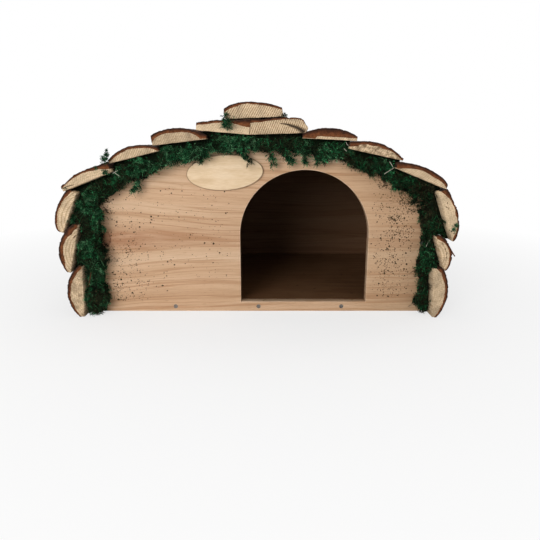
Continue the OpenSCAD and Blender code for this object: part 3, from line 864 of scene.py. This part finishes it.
def inset(loop, by):
    """Loop moved by that much to its left."""
    step = np.roll(loop, -1, axis=0) - loop
    normal = np.column_stack([-step[:, 1], step[:, 0]]) / np.linalg.norm(step, axis=1)[:, None]
    both = normal + np.roll(normal, 1, axis=0)
    return loop + by * both / np.maximum((both ** 2).sum(axis=1), 0.5)[:, None] * 2


def area_of(loop):
    after = np.roll(loop, -1, axis=0)
    return 0.5 * (loop[:, 0] * after[:, 1] - loop[:, 1] * after[:, 0]).sum()


def board_piece(name, node, outside, chamfer, material):
    """Flat board with worn edges, from the outlines of a node's outer face; outside is -1 or 1 along Y."""
    low, high = (corner.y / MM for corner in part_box(node))
    face, rear = (low, high) if outside < 0 else (high, low)
    loops = face_loops(node, face)
    hand = 1 if area_of(loops[0]) > 0 else -1
    points, faces, fills = [], [], []
    for loop in loops:
        cut = chamfer if np.ptp(loop, axis=0).max() > SMALL_LOOP else SMALL_CHAMFER
        rings = [(cut, 0), (0.3 * cut, 0.3 * cut), (0, cut)]
        rings = ([(by, face - outside * deep) for by, deep in rings]
                 + [(by, rear + outside * deep) for by, deep in rings[::-1]])
        start = sum(map(len, points))
        for by, y in rings:
            edge = inset(loop, hand * by)
            points.append(points3(edge[:, 0], y, edge[:, 1]))
        ids = np.arange(len(rings) * len(loop)).reshape(len(rings), -1) + start
        faces += grid_faces(ids, True)
        fills.append(ids)
    for ring in (0, -1):
        ids = np.concatenate([fill[ring] for fill in fills])
        flat = np.vstack(points)
        outline = [[(*flat[i][[0, 2]], 0) for i in fill[ring]] for fill in fills]
        faces += [[int(ids[i]) for i in triangle] for triangle in tessellate_polygon(outline)]
    piece = new_piece(name, np.vstack(points), faces, material, [node])
    piece.data.set_sharp_from_angle(angle=math.radians(SHARP_DEG))
    return piece


# Moss

MOSS_PANEL_GAP = 0.4
MOSS_GROUND_GAP = 0.5
# Tufts caught on the slabs: slab, s, h, distance out of the front end, number of fronds, their length,
# lean, tint, scatter
TUFTS = [
    ("left_1", 23.5, 9.4, 2.5, 240, 3.6, (0.1, -1.0, -0.2), 0.78, 3.1),
    ("left_1", 25, 14, 1.5, 80, 3.4, (-0.2, -0.8, 0.2), 0.74, 1.9),
    ("left_1", 25, 18, 0.6, 40, 3, (0.05, -0.5, 0.7), 0.7, 1.2),
    ("left_2", 46, -4, -6, 36, 4, (0.0, -0.4, -1.0), 0.86, 1.2),
    ("left_2", 46, -9, -6, 36, 4, (0.0, -0.4, -1.0), 0.86, 1.2),
    ("left_2", 46, -14, -7, 30, 4, (0.1, -0.4, -1.0), 0.86, 1.0),
    ("left_3", 57.4, 4.8, 1.0, 140, 3.2, (-0.1, -0.8, 0.3), 0.77, 1.9),
    ("left_3", 55.4, 8.8, 0, 44, 3.4, (0.42, -0.1, 0.9), 0.72, 0.8),
    ("left_3", 54, 13, 0, 24, 3.2, (0.42, -0.1, 0.9), 0.62, 0.5),
    ("left_4", 5, 2.5, 1.5, 70, 3, (-0.1, -0.7, -0.3), 0.8, 1.4),
    ("left_4", 12, 9, 1.0, 16, 2.6, (-0.4, -0.6, 0.2), 0.82, 0.9),
    ("left_4", 54, 2, 0.5, 10, 2.4, (0.5, -0.6, 0.0), 0.6, 0.9),
    ("left_7", 11, 8, 0.3, 16, 1.8, (0.0, -1.0, 0.0), 0.3, 2.4),
    ("right_1", 36, 18, -5, 50, 3, (0.3, -0.3, 0.6), 0.4, 1.6),
    ("right_5", 45, 2.5, 1.0, 34, 3.2, (0.6, -0.5, 0.6), 0.86, 1.1),
    ("right_5", 42, 7, 1.0, 34, 3.2, (0.6, -0.5, 0.6), 0.86, 1.1),
]
# Sprigs that hang from the moss over the panel: x and z of root and tip, and tint
HANGING = [
    ((-130, 162), (-142, 143), 0.85), ((-65, 191), (-62, 175), 0.75), ((-23, 192), (-13, 181), 0.7),
    ((-13, 188), (-8, 175), 0.35), ((14, 190), (16, 172), 0.8), ((22, 193), (40, 177), 0.75),
    ((51, 193), (54, 174), 0.7), ((65, 188), (67, 173), 0.55), ((73, 190), (74, 175), 0.12),
    ((102, 188), (101, 173), 0.65), ((151, 162), (155, 146), 0.65), ((182, 139), (172, 131), 0.25),
    ((122, 175), (127, 163), 0.08), ((139, 167), (142, 155), 0.08), ((-182, 107), (-174, 100), 0.65),
    ((-190, 54), (-182, 45), 0.5), ((-186, 74), (-172, 77), 0.3), ((-186, 64), (-171, 66), 0.3),
    ((193, 134), (180, 129), 0.3), ((193, 127), (181, 123), 0.3)]
# Pale stalks caught in the moss: two ends, and how far they stand out of the panel
STALKS = [
    ((-158, 165.5), (-152, 168.5), 22), ((-156, 166), (-150.5, 162.5), 22), ((139, 164.5), (148.5, 171), 21),
    ((144, 178), (148, 171.5), 22), ((191.5, 83.5), (195, 92), 20), ((98.6, 194.9), (95.6, 198.6), 22),
    ((96.9, 189.1), (93.5, 192.1), 22)]
STALK_R = 0.36
ROD_RINGS = 7
ROD_SIDES = 6
# Splinter of bark on a right-hand slab and a twig in the moss: x and z of root and tip, distance behind
# the slabs' front, radius
SPLINTERS = [((215.5, 85.0), (224.0, 72.6), 4.0, 1.0), ((-195.7, 37.0), (-191.2, 54.0), 4.5, 0.55)]
CRUMB_R = 0.6
# How many crumbs, and the shares of them on the right, strayed over the panel and heaped
CRUMBS = 4200
CRUMBS_RIGHT = 0.62
CRUMBS_STRAY = 0.1
CRUMBS_HEAPED = 0.2
# Heaps of brown bits at the inner edge of the moss: x, z, spread
CRUMB_HEAPS = [(138, 157, 6), (146, 150, 4), (170, 132, 5), (176, 122, 4), (104, 178, 6), (-176, 122, 4),
               (-172, 133, 3), (158, 113, 5), (164, 99, 9)]


def leaves(path, count, length, width, rng):
    """Pairs of narrow leaves along a path, and one at its tip: four corners each, and tip shares."""
    t = np.repeat(np.linspace(0.1, 0.96, count), 2) + rng.uniform(-0.03, 0.03, 2 * count)
    t = np.append(t, 0.97)
    side = np.append(np.tile([-1.0, 1.0], count), 0.0)
    base = path(t)
    tangent = path(t + 0.01) - path(t - 0.01)
    tangent /= np.linalg.norm(tangent, axis=1)[:, None]
    spread = np.radians(rng.uniform(30, 62, len(t))) * np.abs(side)
    aim = tangent * np.cos(spread)[:, None]
    aim[:, 1] += side * np.sin(spread)
    aim[:, 0] += rng.uniform(-0.3, 0.4, len(t))
    long = length * (1 - 0.6 * t) * rng.uniform(0.7, 1.25, len(t))
    across = np.cross(aim, [1.0, 0.0, 0.0])
    across *= (0.5 * width * long / np.linalg.norm(across, axis=1))[:, None]
    reach = aim * long[:, None]
    waist = base + 0.45 * reach
    corners = np.stack([base, waist + across, base + reach, waist - across], axis=1)
    tips = np.stack([0.7 * t, 0.75 * t + 0.12, 0.8 * t + 0.2, 0.75 * t + 0.12], axis=1)
    tips *= rng.uniform(0.15, 1.35, (len(t), 1))
    return corners.reshape(-1, 3), tips.ravel()


def stem(path, radius):
    """Three-sided stem along a path, thinner towards its tip."""
    t = np.linspace(0, 1, STEM_RINGS)
    angles = np.radians(STEM_SIDES_DEG)
    offset = points3(np.cos(angles), np.sin(angles), 0)
    points = path(t)[:, None] + offset * (radius * (1 - 0.7 * t))[:, None, None]
    sides = len(angles)
    ids = np.arange(STEM_RINGS * sides).reshape(STEM_RINGS, sides)
    return points.reshape(-1, 3), np.array(grid_faces(ids, True)), np.repeat(0.6 * t, sides)


def sprig_shape(width, rng):
    """Frond of unit length along Z that curls away from X, with two side fronds: points, quads, tip shares.
    Without a leaf width it is a bare strand."""
    curl, sway = rng.uniform(0.05, 0.5), rng.uniform(-0.14, 0.14)

    def main(t):
        return points3(-curl * t ** 2, sway * np.sin(3 * t), t * (1 - 0.2 * curl * t))

    if not width:
        points, quads, tips = stem(main, STRAND_R / SPRIG_LENGTH)
        return points, quads, tips + 0.3
    points, quads, tips = stem(main, SPRIG_STEM_R / SPRIG_LENGTH)
    parts = [leaves(main, LEAF_PAIRS, LEAF_LENGTH / SPRIG_LENGTH, width, rng)]
    for side in (-1, 1):
        root = main(np.array([rng.uniform(0.12, 0.5)]))[0]
        lean, long = np.radians(rng.uniform(25, 50)) * side, rng.uniform(0.35, 0.6)
        aim = np.array([rng.uniform(-0.3, 0.2), np.sin(lean), np.cos(lean)]) * long
        branch = lambda t, root=root, aim=aim: root + t[:, None] * aim
        parts.append(leaves(branch, 3, 0.75 * LEAF_LENGTH / SPRIG_LENGTH, width, rng))
    for corners, tip in parts:
        ids = np.arange(len(corners)).reshape(-1, 4) + len(points)
        points, quads, tips = np.vstack([points, corners]), np.vstack([quads, ids]), np.append(tips, tip)
    return points, quads, tips


def unit(v):
    return v / np.maximum(np.linalg.norm(v, axis=-1, keepdims=True), 1e-9)


class Sprigs:
    """Fronds of moss, each with its root, the way it grows, the way its face looks, its length and tint."""

    def __init__(self, seed, leaf_width=LEAF_WIDTH):
        self.rng = np.random.default_rng(seed)
        self.leaf_width = leaf_width
        self.rows = []

    def add(self, root, grow, face, length, tint):
        root, grow, face = [np.atleast_2d(np.asarray(a, float)) for a in (root, grow, face)]
        length, tint = [np.broadcast_to(a, len(root)) for a in (length, tint)]
        self.rows.append(np.column_stack([root, unit(grow), np.broadcast_to(face, root.shape), length, tint]))

    def tuft(self, root, lean, count, length, tint, spread, scatter):
        """Fronds from roots scattered about one spot, spread round a lean."""
        ways = unit(np.asarray(lean, float)) + self.rng.normal(0, spread, (count, 3))
        roots = root + self.rng.normal(0, scatter, (count, 3))
        lengths = length * self.rng.uniform(0.6, 1.1, count)
        tints = np.clip(self.rng.normal(tint, 0.14, count), 0, 1)
        self.add(roots, ways, self.rng.normal(0, 1, (count, 3)), lengths, tints)

    def build(self, panel_y, outside):
        """Points, quads, tips and tints of all fronds, clear of the panel that they hang over."""
        rows = np.vstack(self.rows)
        shapes = [sprig_shape(self.leaf_width, self.rng) for _ in range(SPRIG_SHAPES)]
        pick = self.rng.integers(0, SPRIG_SHAPES, len(rows))
        points, quads, tips, tints, count = [], [], [], [], 0
        for n, (shape, faces, tip) in enumerate(shapes):
            part = rows[pick == n]
            root, grow, face, length, tint = np.split(part, [3, 6, 9, 10], axis=1)
            side = unit(np.cross(grow, face))
            basis = np.stack([np.cross(side, grow), side, grow], axis=1)
            placed = root[:, None] + np.einsum("pk,nkc->npc", shape, basis) * length[:, None]
            ids = faces[None] + (count + np.arange(len(part)) * len(shape))[:, None, None]
            count += len(part) * len(shape)
            points.append(placed.reshape(-1, 3))
            quads.append(ids.reshape(-1, 4))
            tips.append(np.tile(tip, len(part)))
            tints.append(np.repeat(tint, len(shape)))
        points = clear_of(np.vstack(points), panel_y, outside)
        return points, np.vstack(quads), np.concatenate(tips), np.concatenate(tints)


def moss_mat(node, material, slabs, seed):
    """Matted body of the moss, dark with painted shade, lumpy and drawn in under the slabs, in the place of
    its solid.
    """
    copy = put("mat_copy", NODES[node].data.copy())
    remesh = copy.modifiers.new("lumps", "REMESH")
    remesh.mode = "VOXEL"
    remesh.voxel_size = MAT_VOXEL * MM
    mesh = bpy.data.meshes.new_from_object(copy.evaluated_get(bpy.context.evaluated_depsgraph_get()))
    bpy.data.objects.remove(copy)
    points = np.array([v.co for v in mesh.vertices]) / MM
    normals = np.array([v.normal for v in mesh.vertices])
    faces = [list(face.vertices) for face in mesh.polygons]
    bpy.data.meshes.remove(mesh)
    near = under_slab(slabs, points) * (1 - filled(points))
    relief = MAT_RELIEF * (fbm(points, 9, seed) - 0.55) * (1 - near) + MAT_FILL * near
    points = points + normals * relief[:, None]
    away = np.abs(points[:, 1])
    flat = np.abs(node_points(node)[:, 1]).min()
    sunk = flat + (away - flat) * (1 - 0.55 * near)
    points[:, 1] = np.sign(points[:, 1]) * np.maximum(sunk, flat + MOSS_PANEL_GAP)
    tint = np.clip(0.25 + 0.3 * fbm(points, 14, seed + 3), 0, 0.5)
    # The mat counts as the base of the fronds, so it takes the painted shade of the moss's depths
    values = {"tint": tint, "tip": np.full(len(points), 0.1)}
    new_piece("mat_" + node, points, faces, material, [node], values)
    return points, faces


def under_slab(slabs, points):
    """1 close under a slab's flat side, 0 well away from all of them."""
    near = np.zeros(len(points))
    for slab in slabs:
        local = slab.local(points)
        beside = (local[:, 0] > -2) & (local[:, 0] < slab.width + 2)
        near = np.maximum(near, beside * np.exp(-(local[:, 1] / 4.5) ** 2))
    return near


def filled(points):
    """1 down the left side, where moss fills the space up to the slabs, 0 elsewhere."""
    return smooth(150, 180, -points[:, 0]) * smooth(-150, -135, -points[:, 2])


def browner(x):
    """0 left of the middle, 1 well to the right, where the moss is browner."""
    return smooth(60, 150, x)


def inward(place):
    """Way in from the slabs to the middle of the panel: down under the roof, sideways lower down."""
    roof = smooth(105, 165, place[:, 2])
    sideways = -np.sign(place[:, 0]) * (1 - roof) - roof * place[:, 0] / 260
    return unit(points3(sideways, 0, -roof))


def spots_on(rng, points, faces, slabs, outside, count):
    """Spots scattered over a mat's outside and inner edge: place, normal, and distance to that edge."""
    quads = np.array([face for face in faces if len(face) == 4])
    a, b, c, d = [points[quads[:, n]] for n in range(4)]
    cross = np.cross(c - a, d - b)
    middle, normals = (a + c) / 2, unit(cross)
    inner = (normals * inward(middle)).sum(axis=1)
    share = np.clip(normals[:, 1] * outside, 0, 1) + 0.4 * np.clip(inner, 0, 1) + 0.01
    share *= np.linalg.norm(cross, axis=1) * (1 - 0.8 * under_slab(slabs, middle) * (1 - filled(middle)))
    pick = rng.choice(len(quads), count, p=share / share.sum())
    u, v = rng.uniform(0, 1, (2, count, 1))
    spot = (a[pick] * (1 - u) + b[pick] * u) * (1 - v) + (d[pick] * (1 - u) + c[pick] * u) * v
    edge = KDTree(int((inner > 0.7).sum()))
    for n, place in enumerate(middle[inner > 0.7]):
        edge.insert(place, n)
    edge.balance()
    return spot, normals[pick], np.array([edge.find(place)[2] for place in spot])


def grow_on(sprigs, points, faces, slabs, outside, count, olive, brighter=0.0):
    """Covers a mat with fronds that lie in locks along it, and hardly reach in past its inner edge."""
    rng = sprigs.rng
    spot, normal, to_edge = spots_on(rng, points, faces, slabs, outside, count)
    lock = np.stack([noise(spot, 14, 90 + n) for n in range(3)], axis=1)
    tangent = unit(lock) + 0.5 * rng.normal(0, 1, (count, 3))
    tangent = unit(tangent - normal * (tangent * normal).sum(axis=1)[:, None])
    grow = tangent + rng.uniform(0.1, 0.7, (count, 1)) * normal + np.array([0, 0.25 * outside, -0.25])
    grow[:, 1] += 0.8 * outside * filled(spot) * under_slab(slabs, spot)
    grow = unit(turned_from_slabs(slabs, spot, unit(grow)))
    length = SPRIG_LENGTH * rng.uniform(0.55, 1.2, count)
    way = inward(spot)
    overhang = SPRIG_OVERHANG * rng.uniform(0, 1, count) ** 2
    for _ in range(3):
        over = (grow * way).sum(axis=1) - (to_edge + overhang) / length
        grow = unit(grow - np.clip(over, 0, None)[:, None] * way)
    face = normal + rng.normal(0, 0.5, (count, 3))
    patch = fbm(spot, 17, 77)
    bright = rng.uniform(0, 1, count) < 0.32 + 0.5 * patch + brighter
    tint = np.where(bright, rng.normal(0.8, 0.12, count), 0.75 * rng.beta(1.6, 4.0, count)) + 0.3 * patch
    tint = tint - olive * browner(spot[:, 0])
    sprigs.add(spot - 0.8 * normal, grow, face, length, np.clip(tint, 0, 1))


def turned_from_slabs(slabs, spot, grow):
    """Ways to grow, turned back where a frond's tip would go into a slab."""
    tip = spot + SPRIG_LENGTH * grow
    for slab in slabs:
        local = slab.local(tip)
        into = (local[:, 1] > -1) & (local[:, 0] > -3) & (local[:, 0] < slab.width + 3)
        into &= (local[:, 1] < slab.outer(local[:, 0]) + 4)
        out = np.array([slab.out[0], 0, slab.out[1]])
        back = np.clip(grow @ out, 0, None)
        grow = grow - np.where(into, 1.7 * back, 0)[:, None] * out
    return grow


def clear_of(points, panel_y, outside):
    """Points kept off the panel that they hang over, and above the ground."""
    away = np.maximum(points[:, 1] * outside, abs(panel_y) + MOSS_PANEL_GAP)
    return points3(points[:, 0], outside * away, np.maximum(points[:, 2], MOSS_GROUND_GAP))


def joined(lots):
    """Points, quads, tips and tints of lots of fronds together."""
    points, quads, tips, tints = zip(*lots)
    starts = np.cumsum([0, *map(len, points)])
    return (np.vstack(points), np.vstack([q + start for q, start in zip(quads, starts)]),
            np.concatenate(tips), np.concatenate(tints))


def sprig_pieces(names, built, cuts, material):
    """One piece for each stretch of X between the cuts, so that none is too heavy."""
    points, quads, tips, tints = built
    middle = points[quads].mean(axis=1)[:, 0]
    zone = np.searchsorted(cuts, middle)
    for n, name in enumerate(names):
        part = quads[zone == n]
        used, ids = np.unique(part, return_inverse=True)
        values = {"tip": tips[used], "tint": tints[used]}
        new_piece(name, points[used], ids.reshape(-1, 4).tolist(), material, (), values, close=False)


def rod_piece(name, rods, material):
    """Thin bent tubes of a radius each from root to tip, thinner at the tip."""
    rng = np.random.default_rng(5)
    points, faces = [], []
    t = np.linspace(0, 1, ROD_RINGS)[:, None]
    angles = np.linspace(0, 2 * np.pi, ROD_SIDES, endpoint=False)[:, None]
    grid = np.arange(ROD_RINGS * ROD_SIDES).reshape(ROD_RINGS, ROD_SIDES)
    for root, tip, radius in rods:
        root, tip = np.array(root), np.array(tip)
        path = root + (tip - root) * t + rng.normal(0, 0.2, 3) * np.sin(np.pi * t)
        along = unit(tip - root)
        side = unit(np.cross(along, [0, 1, 0]))
        ring = np.cos(angles) * side + np.sin(angles) * np.cross(along, side)
        ids = grid + grid.size * len(points)
        points.append((path[:, None] + radius * ring * (1 - 0.4 * t[..., None])).reshape(-1, 3))
        faces += grid_faces(ids, True) + [ids[0].tolist(), ids[-1].tolist()]
    points = np.vstack(points)
    values = {"bark": points, "rim": np.full(len(points), 0.5)}
    return new_piece(name, points, faces, material, (), values)


def crumb_piece(panel_y, material):
    """Crumbs of soil and moss that stick to the panel, most of them near the moss."""
    rng = np.random.default_rng(11)
    corners = np.kron(np.eye(3), [[1], [-1]])
    sides = [(0, 2, 4), (2, 1, 4), (1, 3, 4), (3, 0, 4), (2, 0, 5), (1, 2, 5), (3, 1, 5), (0, 3, 5)]
    spread, up = rng.normal(0, 1, CRUMBS), rng.uniform(0, 1, CRUMBS)
    right = rng.uniform(0, 1, CRUMBS) < CRUMBS_RIGHT
    # A drift round x = 158 on the right, and one from x = -174 inwards on the left
    x = np.where(right, 158 + 27 * np.tanh(0.6 * spread), -174 + np.abs(24 * spread))
    z = np.where(right, 18 + 124 * up, 14 + 112 * up ** 1.6)
    stray = rng.uniform(0, 1, CRUMBS) < CRUMBS_STRAY
    x = np.where(stray, rng.uniform(-170, -30, CRUMBS), x)
    z = np.where(stray, rng.uniform(40, 150, CRUMBS), z)
    heap = np.array(CRUMB_HEAPS, float)[rng.integers(0, len(CRUMB_HEAPS), CRUMBS)]
    heaped = rng.uniform(0, 1, CRUMBS) < CRUMBS_HEAPED
    x = np.where(heaped, heap[:, 0] + heap[:, 2] * rng.normal(0, 1, CRUMBS), x)
    z = np.where(heaped, heap[:, 1] + 0.6 * heap[:, 2] * rng.normal(0, 1, CRUMBS), z)
    clump = rng.uniform(-1, 1, CRUMBS) < 0.1 + 1.6 * fbm(points3(x, 0.37 * x + z, z), 15, 61, 2)
    x, z = [a[clump | stray | heaped] for a in (x, z)]
    count = len(x)
    size = CRUMB_R * rng.lognormal(-0.3, 0.45, count)
    shape = corners * rng.uniform(0.5, 1.3, (count, 6, 1)) * size[:, None, None]
    points = points3(x, panel_y, z)[:, None] + shape
    points[..., 1] = np.minimum(points[..., 1], panel_y + 0.1)
    faces = [[6 * n + i for i in side] for n in range(count) for side in sides]
    return new_piece("moss_crumbs", points.reshape(-1, 3), faces, material)


def front_tufts(sprigs, slabs, front_y):
    """Bright locks on the front moss, sprigs that hang from it, and tufts caught on the slabs."""
    by_name = {slab.name: slab for slab in slabs}
    tufts = Sprigs(23, TUFT_LEAF_WIDTH)
    for row in tufts.rng.choice(sprigs.rows[0], FRONT_LOCKS):
        for reach in LOCK_REACHES:
            root = row[:3] + reach * row[3:6] + np.array([0, -LOCK_OUT, 0])
            tint = LOCK_TINT - 0.3 * browner(row[0])
            tufts.tuft(root, row[3:6], count=10, length=4.5, tint=tint, spread=0.3, scatter=1.1)
    for (x, z), (tip_x, tip_z), tint in HANGING:
        way = np.array([tip_x - x, -2, tip_z - z])
        for share in HANGING_CLUMPS:
            root = np.array([x, front_y - HANGING_OUT, z]) + share * way
            length = 0.4 * np.linalg.norm(way)
            tufts.tuft(root, way, count=11, length=length, tint=tint, spread=0.35, scatter=1.3)
    for name, s, h, out, count, length, lean, tint, scatter in TUFTS:
        slab = by_name[name]
        root = slab.place(np.array(s), np.array(h), np.array(slab.y[0] - out))
        tufts.tuft(root, lean, count, length, tint, 0.5, scatter)
    return tufts


def make_moss(slabs):
    """Moss at the front and the back, with the stalks and crumbs that are caught in it."""
    front_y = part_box("front_panel")[0].y / MM
    back_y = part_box("back_panel")[1].y / MM
    mat_look = moss_material("moss_mat", 0.2)
    frond_look = moss_material("moss_fronds", 0.15)
    points, faces = moss_mat("moss_front", mat_look, slabs, 3)
    sprigs = Sprigs(21)
    grow_on(sprigs, points, faces, slabs, -1, FRONT_SPRIGS, 0.22)
    strands = Sprigs(25, 0)
    grow_on(strands, points, faces, slabs, -1, FRONT_STRANDS, 0.15, 0.2)
    tufts = front_tufts(sprigs, slabs, front_y)
    names = ["moss_front_left", "moss_front_top", "moss_front_right"]
    built = [part.build(front_y, -1) for part in (sprigs, strands, tufts)]
    sprig_pieces(names, joined(built), FRONT_CUTS, frond_look)
    points, faces = moss_mat("moss_back", mat_look, slabs, 8)
    sprigs = Sprigs(22)
    grow_on(sprigs, points, faces, slabs, 1, BACK_SPRIGS, 0.0)
    sprig_pieces(["moss_back_left", "moss_back_right"], sprigs.build(back_y, 1), [0], frond_look)
    stalks = [((x0, front_y - out + 2, z0), (x1, front_y - out, z1), STALK_R)
              for (x0, z0), (x1, z1), out in STALKS]
    rod_piece("pale_stalks", stalks, stalk_material())
    crumb_piece(front_y, crumb_material())


# Stage, light and camera

FLOOR_REACH = 12.0
FLOOR_TONE = (0.9, 0.9, 0.9)
FLOOR_GLOW = 0.7
WORLD_LIGHT = 0.36
# Lamps: place and size in metres, power in watts
LAMPS = {
    "key": ((-0.8, -1.8, 0.55), 0.9, 21.0),
    "fill": ((1.3, -1.7, 0.6), 1.4, 2.5),
    "top": ((0.1, 0.3, 1.9), 1.4, 8.0),
}
LAMP_AIM = (0, 0, 0.1)


def make_stage():
    """Pale floor that fades to white away from the house, and keeps its shadow close by."""
    mesh = bpy.data.meshes.new("floor")
    corners = [(-1, -1), (1, -1), (1, 1), (-1, 1)]
    mesh.from_pydata([(FLOOR_REACH * x, FLOOR_REACH * y, 0) for x, y in corners], [], [(0, 1, 2, 3)])
    floor = put("floor", mesh)
    m = Shader("floor", 0.9)
    m.set(m.surface.inputs["Base Color"], FLOOR_TONE)
    distance = m.length(m.add("ShaderNodeTexCoord").outputs["Object"])
    far = m.ramp(m.over(distance, 2.0), (0.12, FLOOR_GLOW), (0.35, 1.0))
    white = m.add("ShaderNodeEmission", {"Color": (1, 1, 1), "Strength": 1.0})
    seen = m.times(far, m.add("ShaderNodeLightPath").outputs["Is Camera Ray"])
    blend = m.add("ShaderNodeMixShader", {0: seen, 1: m.surface.outputs[0], 2: white.outputs[0]})
    m.set(m.out.inputs["Surface"], blend.outputs[0])
    mesh.materials.append(m.material)


def make_light():
    """White surroundings that light the house less than they show, and three lamps."""
    world = bpy.data.worlds.new("studio")
    bpy.context.scene.world = world
    world.use_nodes = True
    m = Nodes(world.node_tree)
    path = m.add("ShaderNodeLightPath").outputs
    shiny = m.math("MAXIMUM", path["Is Glossy Ray"], path["Is Transmission Ray"])
    seen = m.math("MAXIMUM", path["Is Camera Ray"], shiny)
    strength = m.add("ShaderNodeMapRange", {"Value": seen, "To Min": WORLD_LIGHT, "To Max": 1.0})
    background = m.tree.nodes["Background"].inputs
    m.set(background["Color"], (1, 1, 1))
    m.set(background["Strength"], strength.outputs[0])
    for name, (place, size, power) in LAMPS.items():
        lamp = bpy.data.lights.new(name, "AREA")
        lamp.size = size
        lamp.energy = power
        lamp_object = put(name, lamp)
        lamp_object.location = place
        aim = Vector(LAMP_AIM) - Vector(place)
        lamp_object.rotation_euler = aim.to_track_quat("-Z", "Y").to_euler()


def make_camera():
    """Camera of the photograph."""
    data = bpy.data.cameras.new("camera")
    data.sensor_width = CAMERA_SENSOR
    data.lens = CAMERA_LENS
    data.clip_start = 0.01
    camera = put("camera", data)
    camera.location = [c * MM for c in CAMERA_PLACE]
    camera.rotation_euler = (math.radians(90 - CAMERA_PITCH_DEG), 0, 0)
    bpy.context.scene.camera = camera


def dress_nodes(material, *names):
    """Gives CAD nodes that stay as they are their finish."""
    for name in names:
        NODES[name].data.materials.clear()
        NODES[name].data.materials.append(material)


def make_slabs():
    """Bark and wood of all slabs, and the splinters that stick to them."""
    barks, nails = islands("slab_bark"), islands("slab_nails")
    names = [name for name in sorted(NODES) if name.startswith("slab_") and name.count("_") > 1]
    slabs = [Slab(name, barks, nails) for name in ["slab_ridge", *names]]
    bark = bark_material()
    for slab in slabs:
        bark_piece(slab, bark)
        wood_piece(slab)
    first = slabs[0].y[0]
    rods = [((x0, first + back, z0), (x1, first + back, z1), r) for (x0, z0), (x1, z1), back, r in SPLINTERS]
    rod_piece("bark_splinters", rods, bark)
    return slabs


def make_boards():
    """Panels and plate with worn edges, and finishes for the boards, sheets and nails inside. The panels'
    insides and the boards inside carry painted shade, and the panels' pale edges partly painted highlight.
    """
    front, back = board_wood("front_wood", 1.0, PANEL_KNOT, -1), board_wood("back_wood", 0.95, None, 1)
    board_piece("front_board", "front_panel", -1, CHAMFER, front)
    board_piece("back_board", "back_panel", 1, CHAMFER, back)
    board_piece("oval_plate", "name_plate", -1, PLATE_CHAMFER, plate_wood())
    # Boards inside the box get wood darkened with painted shade, a little lighter than the panels' insides
    inner = board_wood("inner_wood", tuple(INNER_GAIN * c for c in INSIDE_SHADE))
    dress_nodes(inner, "side_board_left", "side_board_right", "floor_board", "ridge_batten", "purlin_left",
                "purlin_right")
    dress_nodes(felt_material(), "lining_left", "lining_right")
    dress_nodes(nail_material(), "slab_nails", "box_nails")


make_camera()
make_light()
make_stage()
make_boards()
make_moss(make_slabs())
bpy.context.scene.view_settings.view_transform = "Standard"
